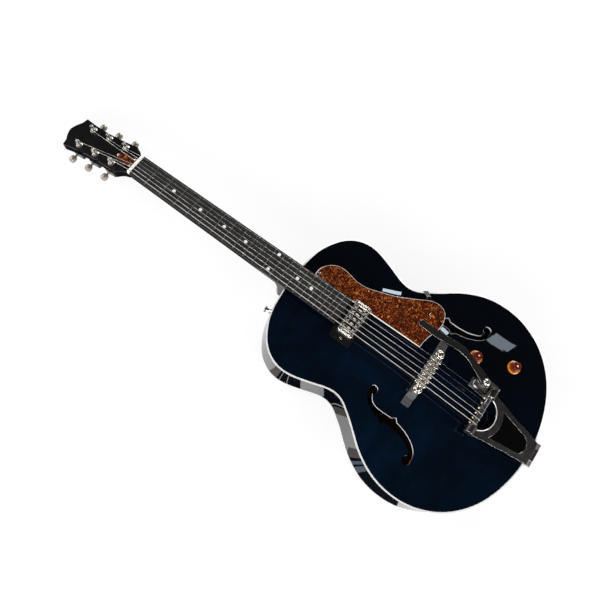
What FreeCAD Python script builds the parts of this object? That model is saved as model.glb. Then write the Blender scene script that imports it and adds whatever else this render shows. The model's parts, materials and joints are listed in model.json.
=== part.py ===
import FreeCAD, Part
import Sketcher
import math
import os

# Archtop guitar lying on its back, strings up.
# Millimetres. +X is the treble side, +Y runs to the headstock, +Z is up.
# Pieces are drawn from the nut (y = 0) and the rim's top edge (z = 0),
# then moved so that the back's crown stands on z = 0 under the middle of the box.

V = FreeCAD.Vector
Placement = FreeCAD.Placement
Rotation = FreeCAD.Rotation
ACROSS = V(1, 0, 0)
ALONG = V(0, 1, 0)
UP = V(0, 0, 1)

FRET_COUNT = 21
JOINT_FRET = 14
SINGLE_MARKERS = (3, 5, 7, 9, 15, 17)
DOUBLE_MARKER = 12
STRING_COUNT = 6
STRING_TURNS = 2.5
SPRING_TURNS = 4
TAIL_SCREW_ROWS = 2

SIZES = {
    # fingerboard, frets and nut
    "scale_length": 631.0,
    "nut_width": 43.0,
    "board_end_width": 53.5,
    "board_thickness": 6.0,
    "board_camber_radius": 406.0,
    "board_overhang": 13.0,
    "board_rise": 17.9,
    "fret_width": 2.3,
    "fret_height": 1.1,
    "fret_inset": 0.4,
    "marker_radius": 3.2,
    "marker_depth": 1.5,
    "marker_spread": 34.0,
    "nut_thickness": 5.0,
    "nut_rise": 2.4,
    "nut_action": 1.6,
    "neck_angle": 3.19,
    # neck
    "neck_depth_nut": 15.0,
    "neck_depth_heel": 18.0,
    "heel_seat": 2.4,
    "heel_depth": 66.0,
    "heel_top_length": 52.0,
    "heel_foot_length": 25.0,
    "heel_foot_width": 46.0,
    "tongue_length": 96.0,
    "tongue_thickness": 8.0,
    "tongue_width": 46.0,
    "truss_rod_radius": 2.5,
    "truss_rod_length": 345.0,
    "truss_rod_depth": 5.5,
    "truss_rod_nut_reach": 14.0,
    "truss_pocket_width": 9.0,
    "truss_pocket_length": 25.0,
    "truss_pocket_depth": 12.0,
    # headstock
    "head_angle": 16.0,
    "head_length": 171.0,
    "head_tip_width": 69.4,
    "head_tip_start": 157.3,
    "head_waist_width": 58.6,
    "head_shoulder_width": 64.6,
    "head_shoulder_start": 22.0,
    "head_thickness": 13.5,
    "head_drop": 4.5,
    "face_thickness": 1.6,
    "cover_length": 45.0,
    "cover_wide_end": 20.0,
    "cover_narrow_end": 14.0,
    "cover_thickness": 2.2,
    "cover_gap": 0.6,
    # tuners
    "tuner_across": 40.0,
    "tuner_first": 41.0,
    "tuner_pitch": 42.4,
    "worm_offset": 8.0,
    "worm_depth": 5.4,
    "housing_length": 25.0,
    "housing_width": 17.0,
    "housing_depth": 11.0,
    "housing_lead": 8.0,
    "housing_round": 3.0,
    "lug_radius": 3.6,
    "lug_thickness": 1.6,
    "gear_radius": 5.4,
    "gear_height": 3.0,
    "gear_room": 0.6,
    "key_shaft_radius": 2.2,
    "key_reach": 36.6,
    "key_inner": 14.0,
    "button_radius": 6.4,
    "button_length": 13.0,
    "post_radius": 3.0,
    "post_waist_radius": 2.6,
    "post_waist_start": 3.4,
    "post_waist_end": 11.5,
    "post_height": 14.0,
    "post_hole_radius": 0.9,
    "post_hole_height": 9.8,
    "bushing_radius": 5.0,
    "bushing_flange_radius": 6.6,
    "bushing_flange_height": 2.6,
    # body
    "body_length": 518.0,
    "lower_bout": 407.6,
    "waist": 241.6,
    "upper_bout": 287.2,
    "rim_depth": 86.0,
    "side_wall": 2.6,
    "binding_width": 2.2,
    "binding_depth": 6.0,
    "top_thickness": 3.6,
    "back_thickness": 3.4,
    "top_arch": 13.0,
    "edge_settle": 0.15,
    "back_arch": 11.0,
    "lining_width": 6.0,
    "lining_depth": 14.0,
    "block_width": 76.0,
    "neck_block_length": 48.0,
    "tail_block_length": 28.0,
    "tone_bar_width": 7.0,
    "tone_bar_depth": 11.0,
    "tone_bar_length": 330.0,
    "tone_bar_spread": 104.0,
    "tone_bar_start": 90.0,
    # sound holes
    "fhole_length": 128.0,
    "fhole_width": 82.0,
    "fhole_inner": 68.0,
    "fhole_from_tail": 167.0,
    "fhole_upper_lobe": 7.3,
    "fhole_lower_lobe": 8.0,
    # pickguard
    "guard_length": 236.0,
    "guard_width": 92.0,
    "guard_from_tail": 252.0,
    "guard_inner": 28.5,
    "guard_top": 18.0,
    "guard_face": 1.4,
    "guard_base": 1.6,
    "guard_border": 1.2,
    "guard_board_gap": 0.4,
    "bracket_width": 8.0,
    "bracket_thickness": 1.4,
    "bracket_length": 52.0,
    "bracket_drop": 26.0,
    "bracket_bend": 13.0,
    "bracket_rise": 1.0,
    # pickup
    "pickup_from_nut": 479.5,
    "pickup_length": 66.0,
    "pickup_width": 30.0,
    "pickup_top": 24.0,
    "pickup_height": 13.0,
    "pickup_wall": 0.9,
    "pickup_round": 4.0,
    "coil_height": 8.0,
    "coil_margin": 2.5,
    "surround_length": 90.0,
    "surround_width": 42.0,
    "surround_top": 13.4,
    "surround_round": 4.0,
    "surround_screw_spread": 79.0,
    # bridge
    "bridge_offset": 3.5,
    "bridge_base_length": 135.0,
    "bridge_base_width": 15.5,
    "bridge_base_top": 20.5,
    "bridge_base_wing": 13.2,
    "bridge_base_step": 92.0,
    "bridge_base_flare": 6.0,
    "bridge_post_spacing": 74.0,
    "bridge_post_radius": 2.0,
    "bridge_post_sink": 8.0,
    "wheel_radius": 8.0,
    "wheel_height": 3.0,
    "wheel_lift": 1.6,
    "bridge_body_height": 7.5,
    "bridge_body_width": 10.5,
    "bridge_end_radius": 7.6,
    "saddle_slot_depth": 4.6,
    "saddle_width": 6.6,
    "saddle_length": 6.0,
    "saddle_stagger": 1.5,
    "saddle_gap": 0.3,
    "string_height": 37.0,
    # vibrato tailpiece
    "hinge_back": 5.0,
    "hinge_lift": 3.5,
    "hinge_radius": 4.0,
    "hinge_pin_radius": 1.6,
    "hinge_half_width": 22.4,
    "hinge_middle": 12.0,
    "hinge_plate_thickness": 2.6,
    "hinge_plate_height": 62.0,
    "frame_slope": 8.5,
    "frame_thickness": 4.0,
    "frame_front": 104.0,
    "frame_front_width": 80.0,
    "frame_waist": 56.0,
    "frame_waist_width": 61.0,
    "frame_tail_start": 5.0,
    "horseshoe_radius": 31.5,
    "bar_reach": 125.0,
    "bar_lift": 5.0,
    "bar_radius": 5.0,
    "journal_radius": 4.0,
    "ear_inner": 30.0,
    "ear_outer": 45.0,
    "ear_radius": 9.0,
    "bearing_radius": 6.6,
    "pin_radius": 0.9,
    "pin_length": 3.6,
    "pin_slope": 55.0,
    "panel_front_radius": 45.5,
    "panel_tail_radius": 17.8,
    "panel_tail_centre": 37.5,
    "panel_thickness": 2.4,
    "shelf_inner": 26.0,
    "shelf_end": 166.0,
    "shelf_thickness": 3.5,
    "shelf_drop": 3.0,
    "spring_across": 37.0,
    "spring_reach": 155.0,
    "spring_radius": 6.6,
    "spring_wire": 1.1,
    "spring_height": 15.5,
    "spring_cup_wall": 1.2,
    "cup_height": 2.6,
    "cheek_thickness": 5.0,
    "cheek_gap": 0.8,
    "cheek_radius": 9.0,
    "bracket_plate_start": 141.0,
    "bracket_plate_end": 166.0,
    "bracket_plate_thickness": 3.2,
    "pivot_across": 40.5,
    "pivot_reach": 151.0,
    "pivot_boss_radius": 7.0,
    "pivot_boss_height": 3.6,
    "arm_tilt": -6.0,
    "arm_length": 147.0,
    "arm_width": 13.0,
    "arm_thickness": 3.0,
    "arm_root_radius": 8.6,
    "arm_sweep": 22.0,
    "bolt_radius": 2.6,
    "bolt_head_radius": 4.6,
    "bolt_head_height": 4.2,
    # controls and output
    "volume_across": 82.9,
    "volume_from_tail": 170.6,
    "tone_across": 112.8,
    "tone_from_tail": 101.8,
    "knob_radius": 12.2,
    "knob_height": 17.0,
    "knob_lift": 1.7,
    "pot_radius": 12.0,
    "pot_height": 10.0,
    "pot_drop": 1.6,
    "pot_bushing_radius": 4.5,
    "pot_shaft_radius": 3.0,
    "jack_bore_radius": 3.25,
    "jack_barrel_radius": 5.0,
    "jack_length": 26.0,
    "jack_flange_radius": 9.0,
    "jack_flange_height": 2.4,
    "jack_depth_share": 0.5,
    # strap buttons
    "strap_length": 13.0,
    "strap_base_radius": 5.6,
    "strap_neck_radius": 3.6,
    "strap_head_radius": 7.0,
    "strap_head_height": 4.0,
    "strap_upper_across": 62.0,
    "strap_upper_drop": 36.0,
    "strap_lower_drop": 44.0,
    # strings
    "nut_string_spacing": 7.0,
    "bridge_string_spacing": 10.2,
    "string_bend": 14.0,
    "string_gap": 0.35,
    "coil_gap": 0.62,
    "coil_start": 4.4,
    "ball_radius": 1.9,
    "ball_length": 3.2,
    "string_1": 0.28,
    "string_2": 0.36,
    "string_3": 0.46,
    "string_4": 0.71,
    "string_5": 0.97,
    "string_6": 1.24,
    # fasteners and fits
    "screw_head_radius": 2.3,
    "screw_head_height": 1.3,
    "screw_shank_radius": 1.1,
    "screw_length": 7.0,
    "running_fit": 0.05,
    "clear": 0.3,
    "overrun": 2.0,
}

# Half outline of the body from the tail to the neck, as shares of the half width
# of each bout or of the waist, and of the body's length.
LOWER_BOUT_SHARES = (
    (0.215, 0.0067), (0.429, 0.028), (0.627, 0.064), (0.797, 0.118), (0.875, 0.156),
    (0.943, 0.206), (0.981, 0.250), (1.000, 0.326), (0.977, 0.391), (0.919, 0.449),
    (0.838, 0.500), (0.742, 0.546),
)
WAIST_SHARES = ((1.100, 0.594), (1.036, 0.618), (1.000, 0.648), (1.012, 0.681), (1.073, 0.725))
UPPER_BOUT_SHARES = (
    (0.956, 0.770), (0.994, 0.812), (1.000, 0.849), (0.974, 0.881), (0.857, 0.931),
    (0.668, 0.967), (0.423, 0.990), (0.182, 0.998),
)
# The arch's crown along the body, the shares between which its width follows the outline,
# and how far its surface is drawn past the outline.
CROWN_SHARE = 0.44
ARCH_END_SHARES = (0.17, 0.89)
ARCH_SPREAD_SHARE = 0.52
ARCH_COLUMNS = 20
ARCH_ROWS = 26
BISECTIONS = 40

# Sound hole, as shares of its width from the inner side and of its length from the tail end.
FHOLE_OUTER_UPPER_SHARES = (
    (0.120, 1.000), (0.270, 0.973), (0.394, 0.898), (0.482, 0.801), (0.527, 0.680),
)
FHOLE_OUTER_NOTCH_SHARE = (0.598, 0.621)
FHOLE_OUTER_LOWER_SHARES = (
    (0.537, 0.574), (0.541, 0.453), (0.582, 0.281), (0.650, 0.170), (0.725, 0.106), (0.805, 0.096),
)
FHOLE_LOWER_LOBE_SHARE = (0.894, 0.070)
FHOLE_INNER_LOWER_SHARES = (
    (0.854, 0.013), (0.744, 0.020), (0.601, 0.084), (0.500, 0.180), (0.433, 0.281), (0.378, 0.437),
)
FHOLE_INNER_NOTCH_SHARE = (0.299, 0.484)
FHOLE_INNER_UPPER_SHARES = (
    (0.362, 0.535), (0.371, 0.688), (0.354, 0.797), (0.302, 0.867), (0.250, 0.895), (0.176, 0.925),
)
FHOLE_UPPER_LOBE_SHARE = (0.091, 0.945)

# Pickguard edge from the neck end round the outside to the corner by the bridge.
GUARD_EDGE_SHARES = (
    (0.010, 1.000), (0.158, 0.992), (0.302, 0.955), (0.392, 0.903), (0.421, 0.844), (0.397, 0.770),
    (0.370, 0.705), (0.386, 0.633), (0.467, 0.540), (0.576, 0.434), (0.693, 0.347), (0.866, 0.237),
    (0.958, 0.176), (1.000, 0.121), (0.989, 0.070), (0.911, 0.028), (0.804, 0.008), (0.627, 0.000),
    (0.426, 0.022), (0.227, 0.043), (0.042, 0.050),
)
GUARD_SCREW_SHARES = ((0.045, 0.975), (0.710, 0.122))

# Headstock edge: shoulder curve, side and ogee top.
HEAD_SHOULDER_SHARES = ((0.0, 0.0), (0.02, 0.18), (0.19, 0.45), (0.50, 0.72), (1.0, 1.0))
HEAD_SIDE_SHARES = (0.09, 0.17, 0.48, 0.75, 0.87)
HEAD_TOP_SHARES = ((0.82, 0.12), (0.645, 0.24), (0.516, 0.46), (0.26, 0.82), (0.09, 0.97))

# Arm centre line from the pivot, as shares of its sweep and its length.
ARM_SHARES = ((0.0, 0.0), (0.56, 0.20), (0.93, 0.36), (1.0, 0.51), (0.86, 0.68), (0.77, 0.84), (0.72, 1.0))
ARM_WIDTH_SHARES = (1.15, 1.0, 0.92, 0.96, 1.0, 1.0, 0.9)

doc = FreeCAD.newDocument("archtop_guitar")
sheet = doc.addObject("Spreadsheet::Sheet", "sizes")
for row, (alias, value) in enumerate(SIZES.items(), start=1):
    sheet.set(f"A{row}", alias.replace("_", " "))
    sheet.set(f"B{row}", str(value))
    sheet.setAlias(f"B{row}", alias)
doc.recompute()


class SheetSizes:
    """Reads a size from the sheet by its alias."""

    def __getattr__(self, alias):
        return float(sheet.get(alias))


d = SheetSizes()
SUB_PARTS = []


def fret_distance(number):
    """Distance of a fret from the nut along the board."""
    return d.scale_length * (1 - 2 ** (-number / 12))


def bell(share):
    """Raised cosine: whole in the middle, nothing at the edge and beyond."""
    return 0.5 + 0.5 * math.cos(math.pi * min(abs(share), 1))


JOINT = fret_distance(JOINT_FRET)
BOARD_LENGTH = fret_distance(FRET_COUNT) + d.board_overhang
NECK_SLOPE = math.radians(d.neck_angle)
NUT_HEIGHT = d.board_rise - JOINT * math.sin(NECK_SLOPE)
BODY_FRONT = d.heel_seat - JOINT * math.cos(NECK_SLOPE)
TAIL = BODY_FRONT - d.body_length
HEAD_BACK = d.face_thickness + d.head_thickness
BRIDGE = -(d.scale_length + d.bridge_offset)

NECK = Placement(V(0, 0, NUT_HEIGHT), Rotation(ACROSS, -d.neck_angle))
HEAD = NECK.multiply(Placement(V(0, d.nut_thickness, -d.head_drop), Rotation(ACROSS, -d.head_angle)))
VIBRATO = Placement(V(0, TAIL - d.hinge_back, d.hinge_lift), Rotation(ACROSS, d.frame_slope))

FRONT_END = HEAD.multVec(V(0, d.head_length, 0)).y
REAR_END = TAIL - d.hinge_plate_thickness - d.strap_length
BACK_CROWN = d.rim_depth + d.back_arch - d.edge_settle
HOME = Placement(V(0, -(FRONT_END + REAR_END) / 2, BACK_CROWN), Rotation())


# Helpers that put a piece into the document

def keep(piece, label):
    """Name a finished piece and list it for writing."""
    piece.Label = label
    SUB_PARTS.append(piece)
    return piece


def feature(label, shape, frame=None):
    """A piece whose shape is worked out in code from the sheet."""
    piece = doc.addObject("Part::Feature", label)
    piece.Shape = shape
    home = HOME.multiply(frame) if frame else HOME
    piece.Placement = home.multiply(shape.Placement)
    return keep(piece, label)


def bind(piece, **sizes):
    """Tie a document object's properties to expressions on the sheet."""
    for name, expression in sizes.items():
        piece.setExpression(name, expression)
    return piece


def cylinder(name, radius, height, place):
    """A cylinder whose radius and height follow the sheet."""
    rod = doc.addObject("Part::Cylinder", name)
    bind(rod, Radius=radius, Height=height)
    rod.Placement = HOME.multiply(place)
    return rod


def box(name, length, width, height, place):
    """A box whose three sides follow the sheet."""
    block = doc.addObject("Part::Box", name)
    bind(block, Length=length, Width=width, Height=height)
    block.Placement = HOME.multiply(place)
    return block


def boolean(kind, label, base, tool):
    """A cut, fuse or common of two document objects."""
    joined = doc.addObject(f"Part::{kind}", label)
    joined.Base = base
    joined.Tool = tool
    return joined


def group(label, pieces):
    """Several separate solids that share one node."""
    together = doc.addObject("Part::Compound", label)
    together.Links = pieces
    return keep(together, label)


def origin_plane(body, role):
    return next(plane for plane in body.Origin.OriginFeatures if plane.Role == role)


def sketch_on(body, role, points):
    """A closed polygon sketch on one of the body's own planes."""
    sketch = body.newObject("Sketcher::SketchObject", body.Name + "_sketch")
    sketch.AttachmentSupport = (origin_plane(body, role), [""])
    sketch.MapMode = "FlatFace"
    corners = [V(across, along, 0) for across, along in points]
    for start, end in zip(corners, corners[1:] + corners[:1]):
        sketch.addGeometry(Part.LineSegment(start, end), False)
    for index in range(len(corners)):
        following = (index + 1) % len(corners)
        sketch.addConstraint(Sketcher.Constraint("Coincident", index, 2, following, 1))
    return sketch


def turned(name, profile, place):
    """A body turned about its own z axis from (radius, height) points."""
    body = doc.addObject("PartDesign::Body", name)
    sketch = sketch_on(body, "XZ_Plane", profile)
    turn = body.newObject("PartDesign::Revolution", name + "_turn")
    turn.Profile = sketch
    turn.ReferenceAxis = (sketch, ["V_Axis"])
    turn.Angle = 360
    body.Placement = HOME.multiply(place)
    return body


def padded_plate(name, points, thickness, place):
    """A flat plate padded up from its outline by a size on the sheet."""
    body = doc.addObject("PartDesign::Body", name)
    sketch = sketch_on(body, "XY_Plane", points)
    pad = body.newObject("PartDesign::Pad", name + "_pad")
    pad.Profile = sketch
    bind(pad, Length=thickness)
    body.Placement = HOME.multiply(place)
    return body


# Curves and solids that the code works out

def spline(points, first=None, last=None):
    curve = Part.BSplineCurve()
    if first:
        curve.interpolate(Points=points, InitialTangent=first, FinalTangent=last)
    else:
        curve.interpolate(Points=points)
    return curve


def joined_wire(edges):
    return Part.Wire(Part.__sortEdges__(edges))


def mirrored(shape):
    return shape.mirror(V(0, 0, 0), ACROSS)


def outline_points(inset):
    """Points of the treble half of the body's outline, moved inwards by the inset."""
    points = [V(0, TAIL, 0)]
    for shares, width in (
        (LOWER_BOUT_SHARES, d.lower_bout), (WAIST_SHARES, d.waist), (UPPER_BOUT_SHARES, d.upper_bout),
    ):
        points += [V(across * width / 2, TAIL + along * d.body_length, 0) for across, along in shares]
    points.append(V(0, BODY_FRONT, 0))
    edge = spline(points, ACROSS, -ACROSS)
    runs = [edge.tangent(edge.parameter(point))[0] for point in points]
    return [point + V(-run.y, run.x, 0) * inset for point, run in zip(points, runs)]


def body_half_curve(inset):
    return spline(outline_points(inset), ACROSS, -ACROSS)


def body_wire(inset):
    half = body_half_curve(inset).toShape()
    return joined_wire([half, mirrored(half)])


def body_prism(inset, bottom, top):
    face = Part.Face(body_wire(inset))
    face.translate(V(0, 0, bottom))
    return face.extrude(V(0, 0, top - bottom))


def half_width(edge, along):
    """Half width of the body at a place along it, found on the outline."""
    low, high = edge.FirstParameter, edge.LastParameter
    for _ in range(BISECTIONS):
        middle = (low + high) / 2
        if edge.value(middle).y < along:
            low = middle
        else:
            high = middle
    return edge.value(low).x


def arch_under(arch, lift):
    """The space under an arched face that falls to the rim in a smooth bell both ways."""
    edge = body_half_curve(d.binding_width)
    spread = d.lower_bout * ARCH_SPREAD_SHARE
    columns = [spread * (2 * column / ARCH_COLUMNS - 1) for column in range(ARCH_COLUMNS + 1)]
    rows = []
    for row in range(ARCH_ROWS + 1):
        share = 0.5 + (2 * row / ARCH_ROWS - 1) * ARCH_SPREAD_SHARE
        held = min(max(share, ARCH_END_SHARES[0]), ARCH_END_SHARES[1])
        width = half_width(edge, TAIL + held * d.body_length)
        run = CROWN_SHARE if share < CROWN_SHARE else 1 - CROWN_SHARE
        rise = arch * bell((share - CROWN_SHARE) / run)
        along = TAIL + share * d.body_length
        floor = lift - d.edge_settle
        rows.append([V(across, along, floor + rise * bell(across / width)) for across in columns])
    surface = Part.BSplineSurface()
    surface.interpolate(rows)
    return surface.toShape().extrude(-UP * (2 * arch))


def arch_dome(arch):
    """The arch above the rim plane, inside the binding."""
    return body_prism(d.binding_width, -d.overrun, arch + d.overrun).common(arch_under(arch, 0))


def arched_plate(arch, thickness):
    """A plate of even thickness whose edge lies in the rim plane."""
    blank = body_prism(d.binding_width, -thickness - d.overrun, arch + d.overrun)
    return blank.common(arch_under(arch, 0)).cut(arch_under(arch, -thickness))


def ring_wall(outer, inner, bottom, top):
    return body_prism(outer, bottom, top).cut(body_prism(inner, bottom, top))


def block_shape(length, width, height, corner):
    return Part.makeBox(length, width, height, corner)


TOP_DOME = arch_dome(d.top_arch)


def top_height(across, along):
    """Height of the top's face over a point."""
    probe = Part.makeLine(V(across, along, 0), V(across, along, d.top_arch + d.overrun))
    return max(vertex.Z for vertex in TOP_DOME.common(probe).Vertexes)


def screw_shape(place):
    """A round-headed screw whose head stands on the place's origin, shank down."""
    head = Part.makeCylinder(d.screw_head_radius, d.screw_head_height)
    head = head.makeFillet(d.screw_head_height / 2, [head.Edges[0]])
    shank = Part.makeCylinder(d.screw_shank_radius, d.screw_length, V(0, 0, 0), -UP)
    screw = head.fuse(shank)
    screw.Placement = place
    return screw


# Body

def fhole_point(share):
    across, along = share
    return V(d.fhole_inner + across * d.fhole_width, TAIL + d.fhole_from_tail + along * d.fhole_length, 0)


def fhole_prism():
    """Treble sound hole: two lobes joined by a notched stem."""
    outer_upper = [fhole_point(share) for share in FHOLE_OUTER_UPPER_SHARES]
    outer_lower = [fhole_point(share) for share in FHOLE_OUTER_LOWER_SHARES]
    inner_lower = [fhole_point(share) for share in FHOLE_INNER_LOWER_SHARES]
    inner_upper = [fhole_point(share) for share in FHOLE_INNER_UPPER_SHARES]
    outer_notch = fhole_point(FHOLE_OUTER_NOTCH_SHARE)
    inner_notch = fhole_point(FHOLE_INNER_NOTCH_SHARE)
    lower_far = fhole_point(FHOLE_LOWER_LOBE_SHARE) + V(d.fhole_lower_lobe, 0, 0)
    upper_far = fhole_point(FHOLE_UPPER_LOBE_SHARE) - V(d.fhole_upper_lobe, 0, 0)
    edges = [spline(run).toShape() for run in (outer_upper, outer_lower, inner_lower, inner_upper)]
    edges.append(Part.makeLine(outer_upper[-1], outer_notch))
    edges.append(Part.makeLine(outer_notch, outer_lower[0]))
    edges.append(Part.Arc(outer_lower[-1], lower_far, inner_lower[0]).toShape())
    edges.append(Part.makeLine(inner_lower[-1], inner_notch))
    edges.append(Part.makeLine(inner_notch, inner_upper[0]))
    edges.append(Part.Arc(inner_upper[-1], upper_far, outer_upper[0]).toShape())
    face = Part.Face(joined_wire(edges))
    face.translate(V(0, 0, -d.top_thickness - d.overrun))
    return face.extrude(UP * (d.top_thickness + d.top_arch + 2 * d.overrun))


PICKUP = -d.pickup_from_nut
CONTROLS = (
    ("volume", V(d.volume_across, TAIL + d.volume_from_tail, 0)),
    ("tone", V(d.tone_across, TAIL + d.tone_from_tail, 0)),
)


def top_plate():
    plate = arched_plate(d.top_arch, d.top_thickness)
    hole = fhole_prism()
    reach = d.top_thickness + d.top_arch + 2 * d.overrun
    floor = -d.top_thickness - d.overrun
    length = d.pickup_length + 2 * d.clear
    width = d.pickup_width + 2 * d.clear
    rout = block_shape(length, width, reach, V(-length / 2, PICKUP - width / 2, floor))
    cuts = [hole, mirrored(hole), rout]
    for _, spot in CONTROLS:
        cuts.append(Part.makeCylinder(d.pot_bushing_radius, reach, spot + V(0, 0, floor)))
    return plate.cut(Part.makeCompound(cuts))


def back_plate():
    plate = arched_plate(d.back_arch, d.back_thickness).mirror(V(0, 0, 0), UP)
    plate.translate(V(0, 0, -d.rim_depth))
    return plate


def jack_place():
    """Middle of the treble rim beside the tail, looking outwards."""
    across, along = LOWER_BOUT_SHARES[3]
    edge = body_half_curve(0)
    spot = V(across * d.lower_bout / 2, TAIL + along * d.body_length, 0)
    run = edge.tangent(edge.parameter(spot))[0]
    spot.z = -d.rim_depth * d.jack_depth_share
    return Placement(spot, Rotation(UP, V(run.y, -run.x, 0)))


JACK = jack_place()


def sides(screws):
    bottom = d.binding_depth - d.rim_depth
    wall = ring_wall(0, d.side_wall, bottom, -d.binding_depth)
    hole = Part.makeCylinder(d.jack_barrel_radius, d.side_wall + 2 * d.overrun, V(0, 0, 0), UP)
    hole.translate(V(0, 0, -d.side_wall - d.overrun))
    hole.Placement = JACK.multiply(hole.Placement)
    half = block_shape(d.lower_bout, d.body_length + 2 * d.overrun, d.rim_depth,
                       V(0, TAIL - d.overrun, -d.rim_depth))
    feature("treble_side", wall.common(half).cut([hole, screws]))
    feature("bass_side", wall.common(mirrored(half)).cut(screws))


def bindings():
    feature("top_binding", ring_wall(0, d.binding_width, -d.binding_depth, 0))
    feature("back_binding", ring_wall(0, d.binding_width, -d.rim_depth, d.binding_depth - d.rim_depth))


UNDER_TOP = -d.top_thickness - d.edge_settle - d.clear
OVER_BACK = d.back_thickness + d.edge_settle + d.clear - d.rim_depth


def linings():
    """Glue strips in the four inner corners between sides and plates, stopped at the end blocks."""
    inner = d.side_wall + d.lining_width
    upper = ring_wall(d.side_wall, inner, UNDER_TOP - d.lining_depth, UNDER_TOP)
    floor = OVER_BACK
    lower = ring_wall(d.side_wall, inner, floor, floor + d.lining_depth)
    gap = d.block_width + 2 * d.clear
    middle = block_shape(gap, d.body_length, d.rim_depth, V(-gap / 2, TAIL, -d.rim_depth))
    strips = upper.cut(middle).Solids + lower.cut(middle).Solids
    feature("linings", Part.makeCompound(strips))


def end_blocks(screws):
    inside = body_prism(d.side_wall, OVER_BACK, UNDER_TOP)
    for label, length, start in (
        ("neck_block", d.neck_block_length, BODY_FRONT - d.neck_block_length),
        ("tail_block", d.tail_block_length, TAIL),
    ):
        block = block_shape(d.block_width, length, d.rim_depth, V(-d.block_width / 2, start, -d.rim_depth))
        feature(label, inside.common(block).cut(screws))


def tone_bars():
    """Two braces fitted to the underside of the top."""
    under = arch_under(d.top_arch, -d.top_thickness)
    lower = arch_under(d.top_arch, -d.top_thickness - d.tone_bar_depth)
    bars = []
    for side in (-1, 1):
        across = (side * d.tone_bar_spread - d.tone_bar_width) / 2
        corner = V(across, TAIL + d.tone_bar_start, -d.tone_bar_depth)
        bar = block_shape(d.tone_bar_width, d.tone_bar_length, d.top_arch + d.tone_bar_depth, corner)
        bars += bar.common(under).cut(lower).Solids
    feature("tone_bars", Part.makeCompound(bars))


# Neck, headstock and fingerboard

NECK_CURVE_SHARE = (0.84, 0.62)


def into(frame, shape):
    """A copy of a shape carried from a tilted frame into the body's frame."""
    carried = shape.copy()
    carried.Placement = frame.multiply(carried.Placement)
    return carried


def board_width(distance):
    taper = (d.board_end_width - d.nut_width) / fret_distance(FRET_COUNT)
    return d.nut_width + taper * distance


def neck_section(distance, depth):
    """Flat under the board and round in the hand."""
    half = board_width(max(distance, 0)) / 2
    across, down = NECK_CURVE_SHARE
    top = -d.board_thickness
    points = [V(half, -distance, top), V(half * across, -distance, top - down * depth),
              V(0, -distance, top - depth), V(-half * across, -distance, top - down * depth),
              V(-half, -distance, top)]
    return joined_wire([spline(points, -UP, UP).toShape(), Part.makeLine(points[-1], points[0])])


def heel_section(level, width, length):
    """Level slice of the heel: square at the body, round towards the hand."""
    half = width / 2
    back = -JOINT - d.heel_seat - d.overrun
    shoulder = min(half, length / 2) - JOINT
    front = length - JOINT
    corners = [V(half, back, level), V(half, shoulder, level),
               V(-half, shoulder, level), V(-half, back, level)]
    return joined_wire([
        Part.makeLine(corners[0], corners[1]),
        Part.Arc(corners[1], V(0, front, level), corners[2]).toShape(),
        Part.makeLine(corners[2], corners[3]),
        Part.makeLine(corners[3], corners[0]),
    ])


def head_wire():
    """Headstock edge: concave shoulders, drawn-in sides and an ogee top."""
    nut_half = d.nut_width / 2
    shoulder_half = d.head_shoulder_width / 2
    waist_half = d.head_waist_width / 2
    tip_half = d.head_tip_width / 2
    shoulder = [V(nut_half + across * (shoulder_half - nut_half), along * d.head_shoulder_start, 0)
                for across, along in HEAD_SHOULDER_SHARES]
    run = d.head_tip_start - d.head_shoulder_start
    side = [shoulder[-1]]
    for along in HEAD_SIDE_SHARES:
        bulge = abs(2 * along - 1) ** 2
        end_half = shoulder_half if along < 0.5 else tip_half
        side.append(V(waist_half + bulge * (end_half - waist_half), d.head_shoulder_start + along * run, 0))
    side.append(V(tip_half, d.head_tip_start, 0))
    rise = d.head_length - d.head_tip_start
    top = [side[-1]]
    top += [V(across * tip_half, d.head_tip_start + along * rise, 0) for across, along in HEAD_TOP_SHARES]
    top.append(V(0, d.head_length, 0))
    half = [spline(shoulder).toShape(), spline(side).toShape(), spline(top).toShape()]
    nut_edge = Part.makeLine(V(-nut_half, 0, 0), V(nut_half, 0, 0))
    return joined_wire(half + [mirrored(edge) for edge in half] + [nut_edge])


def tuner_spots():
    """String number, side and post centre on the headstock face."""
    spots = []
    for place in range(3):
        along = d.tuner_first + place * d.tuner_pitch
        spots.append((1 + place, 1, V(d.tuner_across / 2, along, 0)))
        spots.append((6 - place, -1, V(-d.tuner_across / 2, along, 0)))
    return spots


TUNERS = tuner_spots()


def head_holes(depth):
    """Post holes and the pocket for the truss rod's nut, from the face down."""
    holes = [Part.makeCylinder(d.bushing_radius, depth, spot - UP * depth) for _, _, spot in TUNERS]
    pocket = block_shape(d.truss_pocket_width, d.truss_pocket_length, d.truss_pocket_depth,
                         V(-d.truss_pocket_width / 2, d.overrun, -d.truss_pocket_depth))
    return holes + [pocket]


def truss_rod_shape():
    start = V(0, d.nut_thickness + d.truss_rod_nut_reach, -d.board_thickness - d.truss_rod_depth)
    return into(NECK, Part.makeCylinder(d.truss_rod_radius, d.truss_rod_length, start, -ALONG))


def nut_spot(number):
    """Middle of a string where it bends over the nut, in the neck's plane."""
    across = string_across(number, d.nut_string_spacing)
    return V(across, d.nut_thickness / 2, d.nut_action - camber_drop(across) + string_gauge(number) / 2)


def slot_mouth(centre, half_width):
    """Upright opening of a nut slot, from under the string to above the nut."""
    low = centre.z - half_width
    high = d.nut_rise + d.overrun
    corners = [V(centre.x - half_width, centre.y, low), V(centre.x + half_width, centre.y, low),
               V(centre.x + half_width, centre.y, high), V(centre.x - half_width, centre.y, high)]
    return Part.makePolygon(corners + corners[:1])


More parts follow.
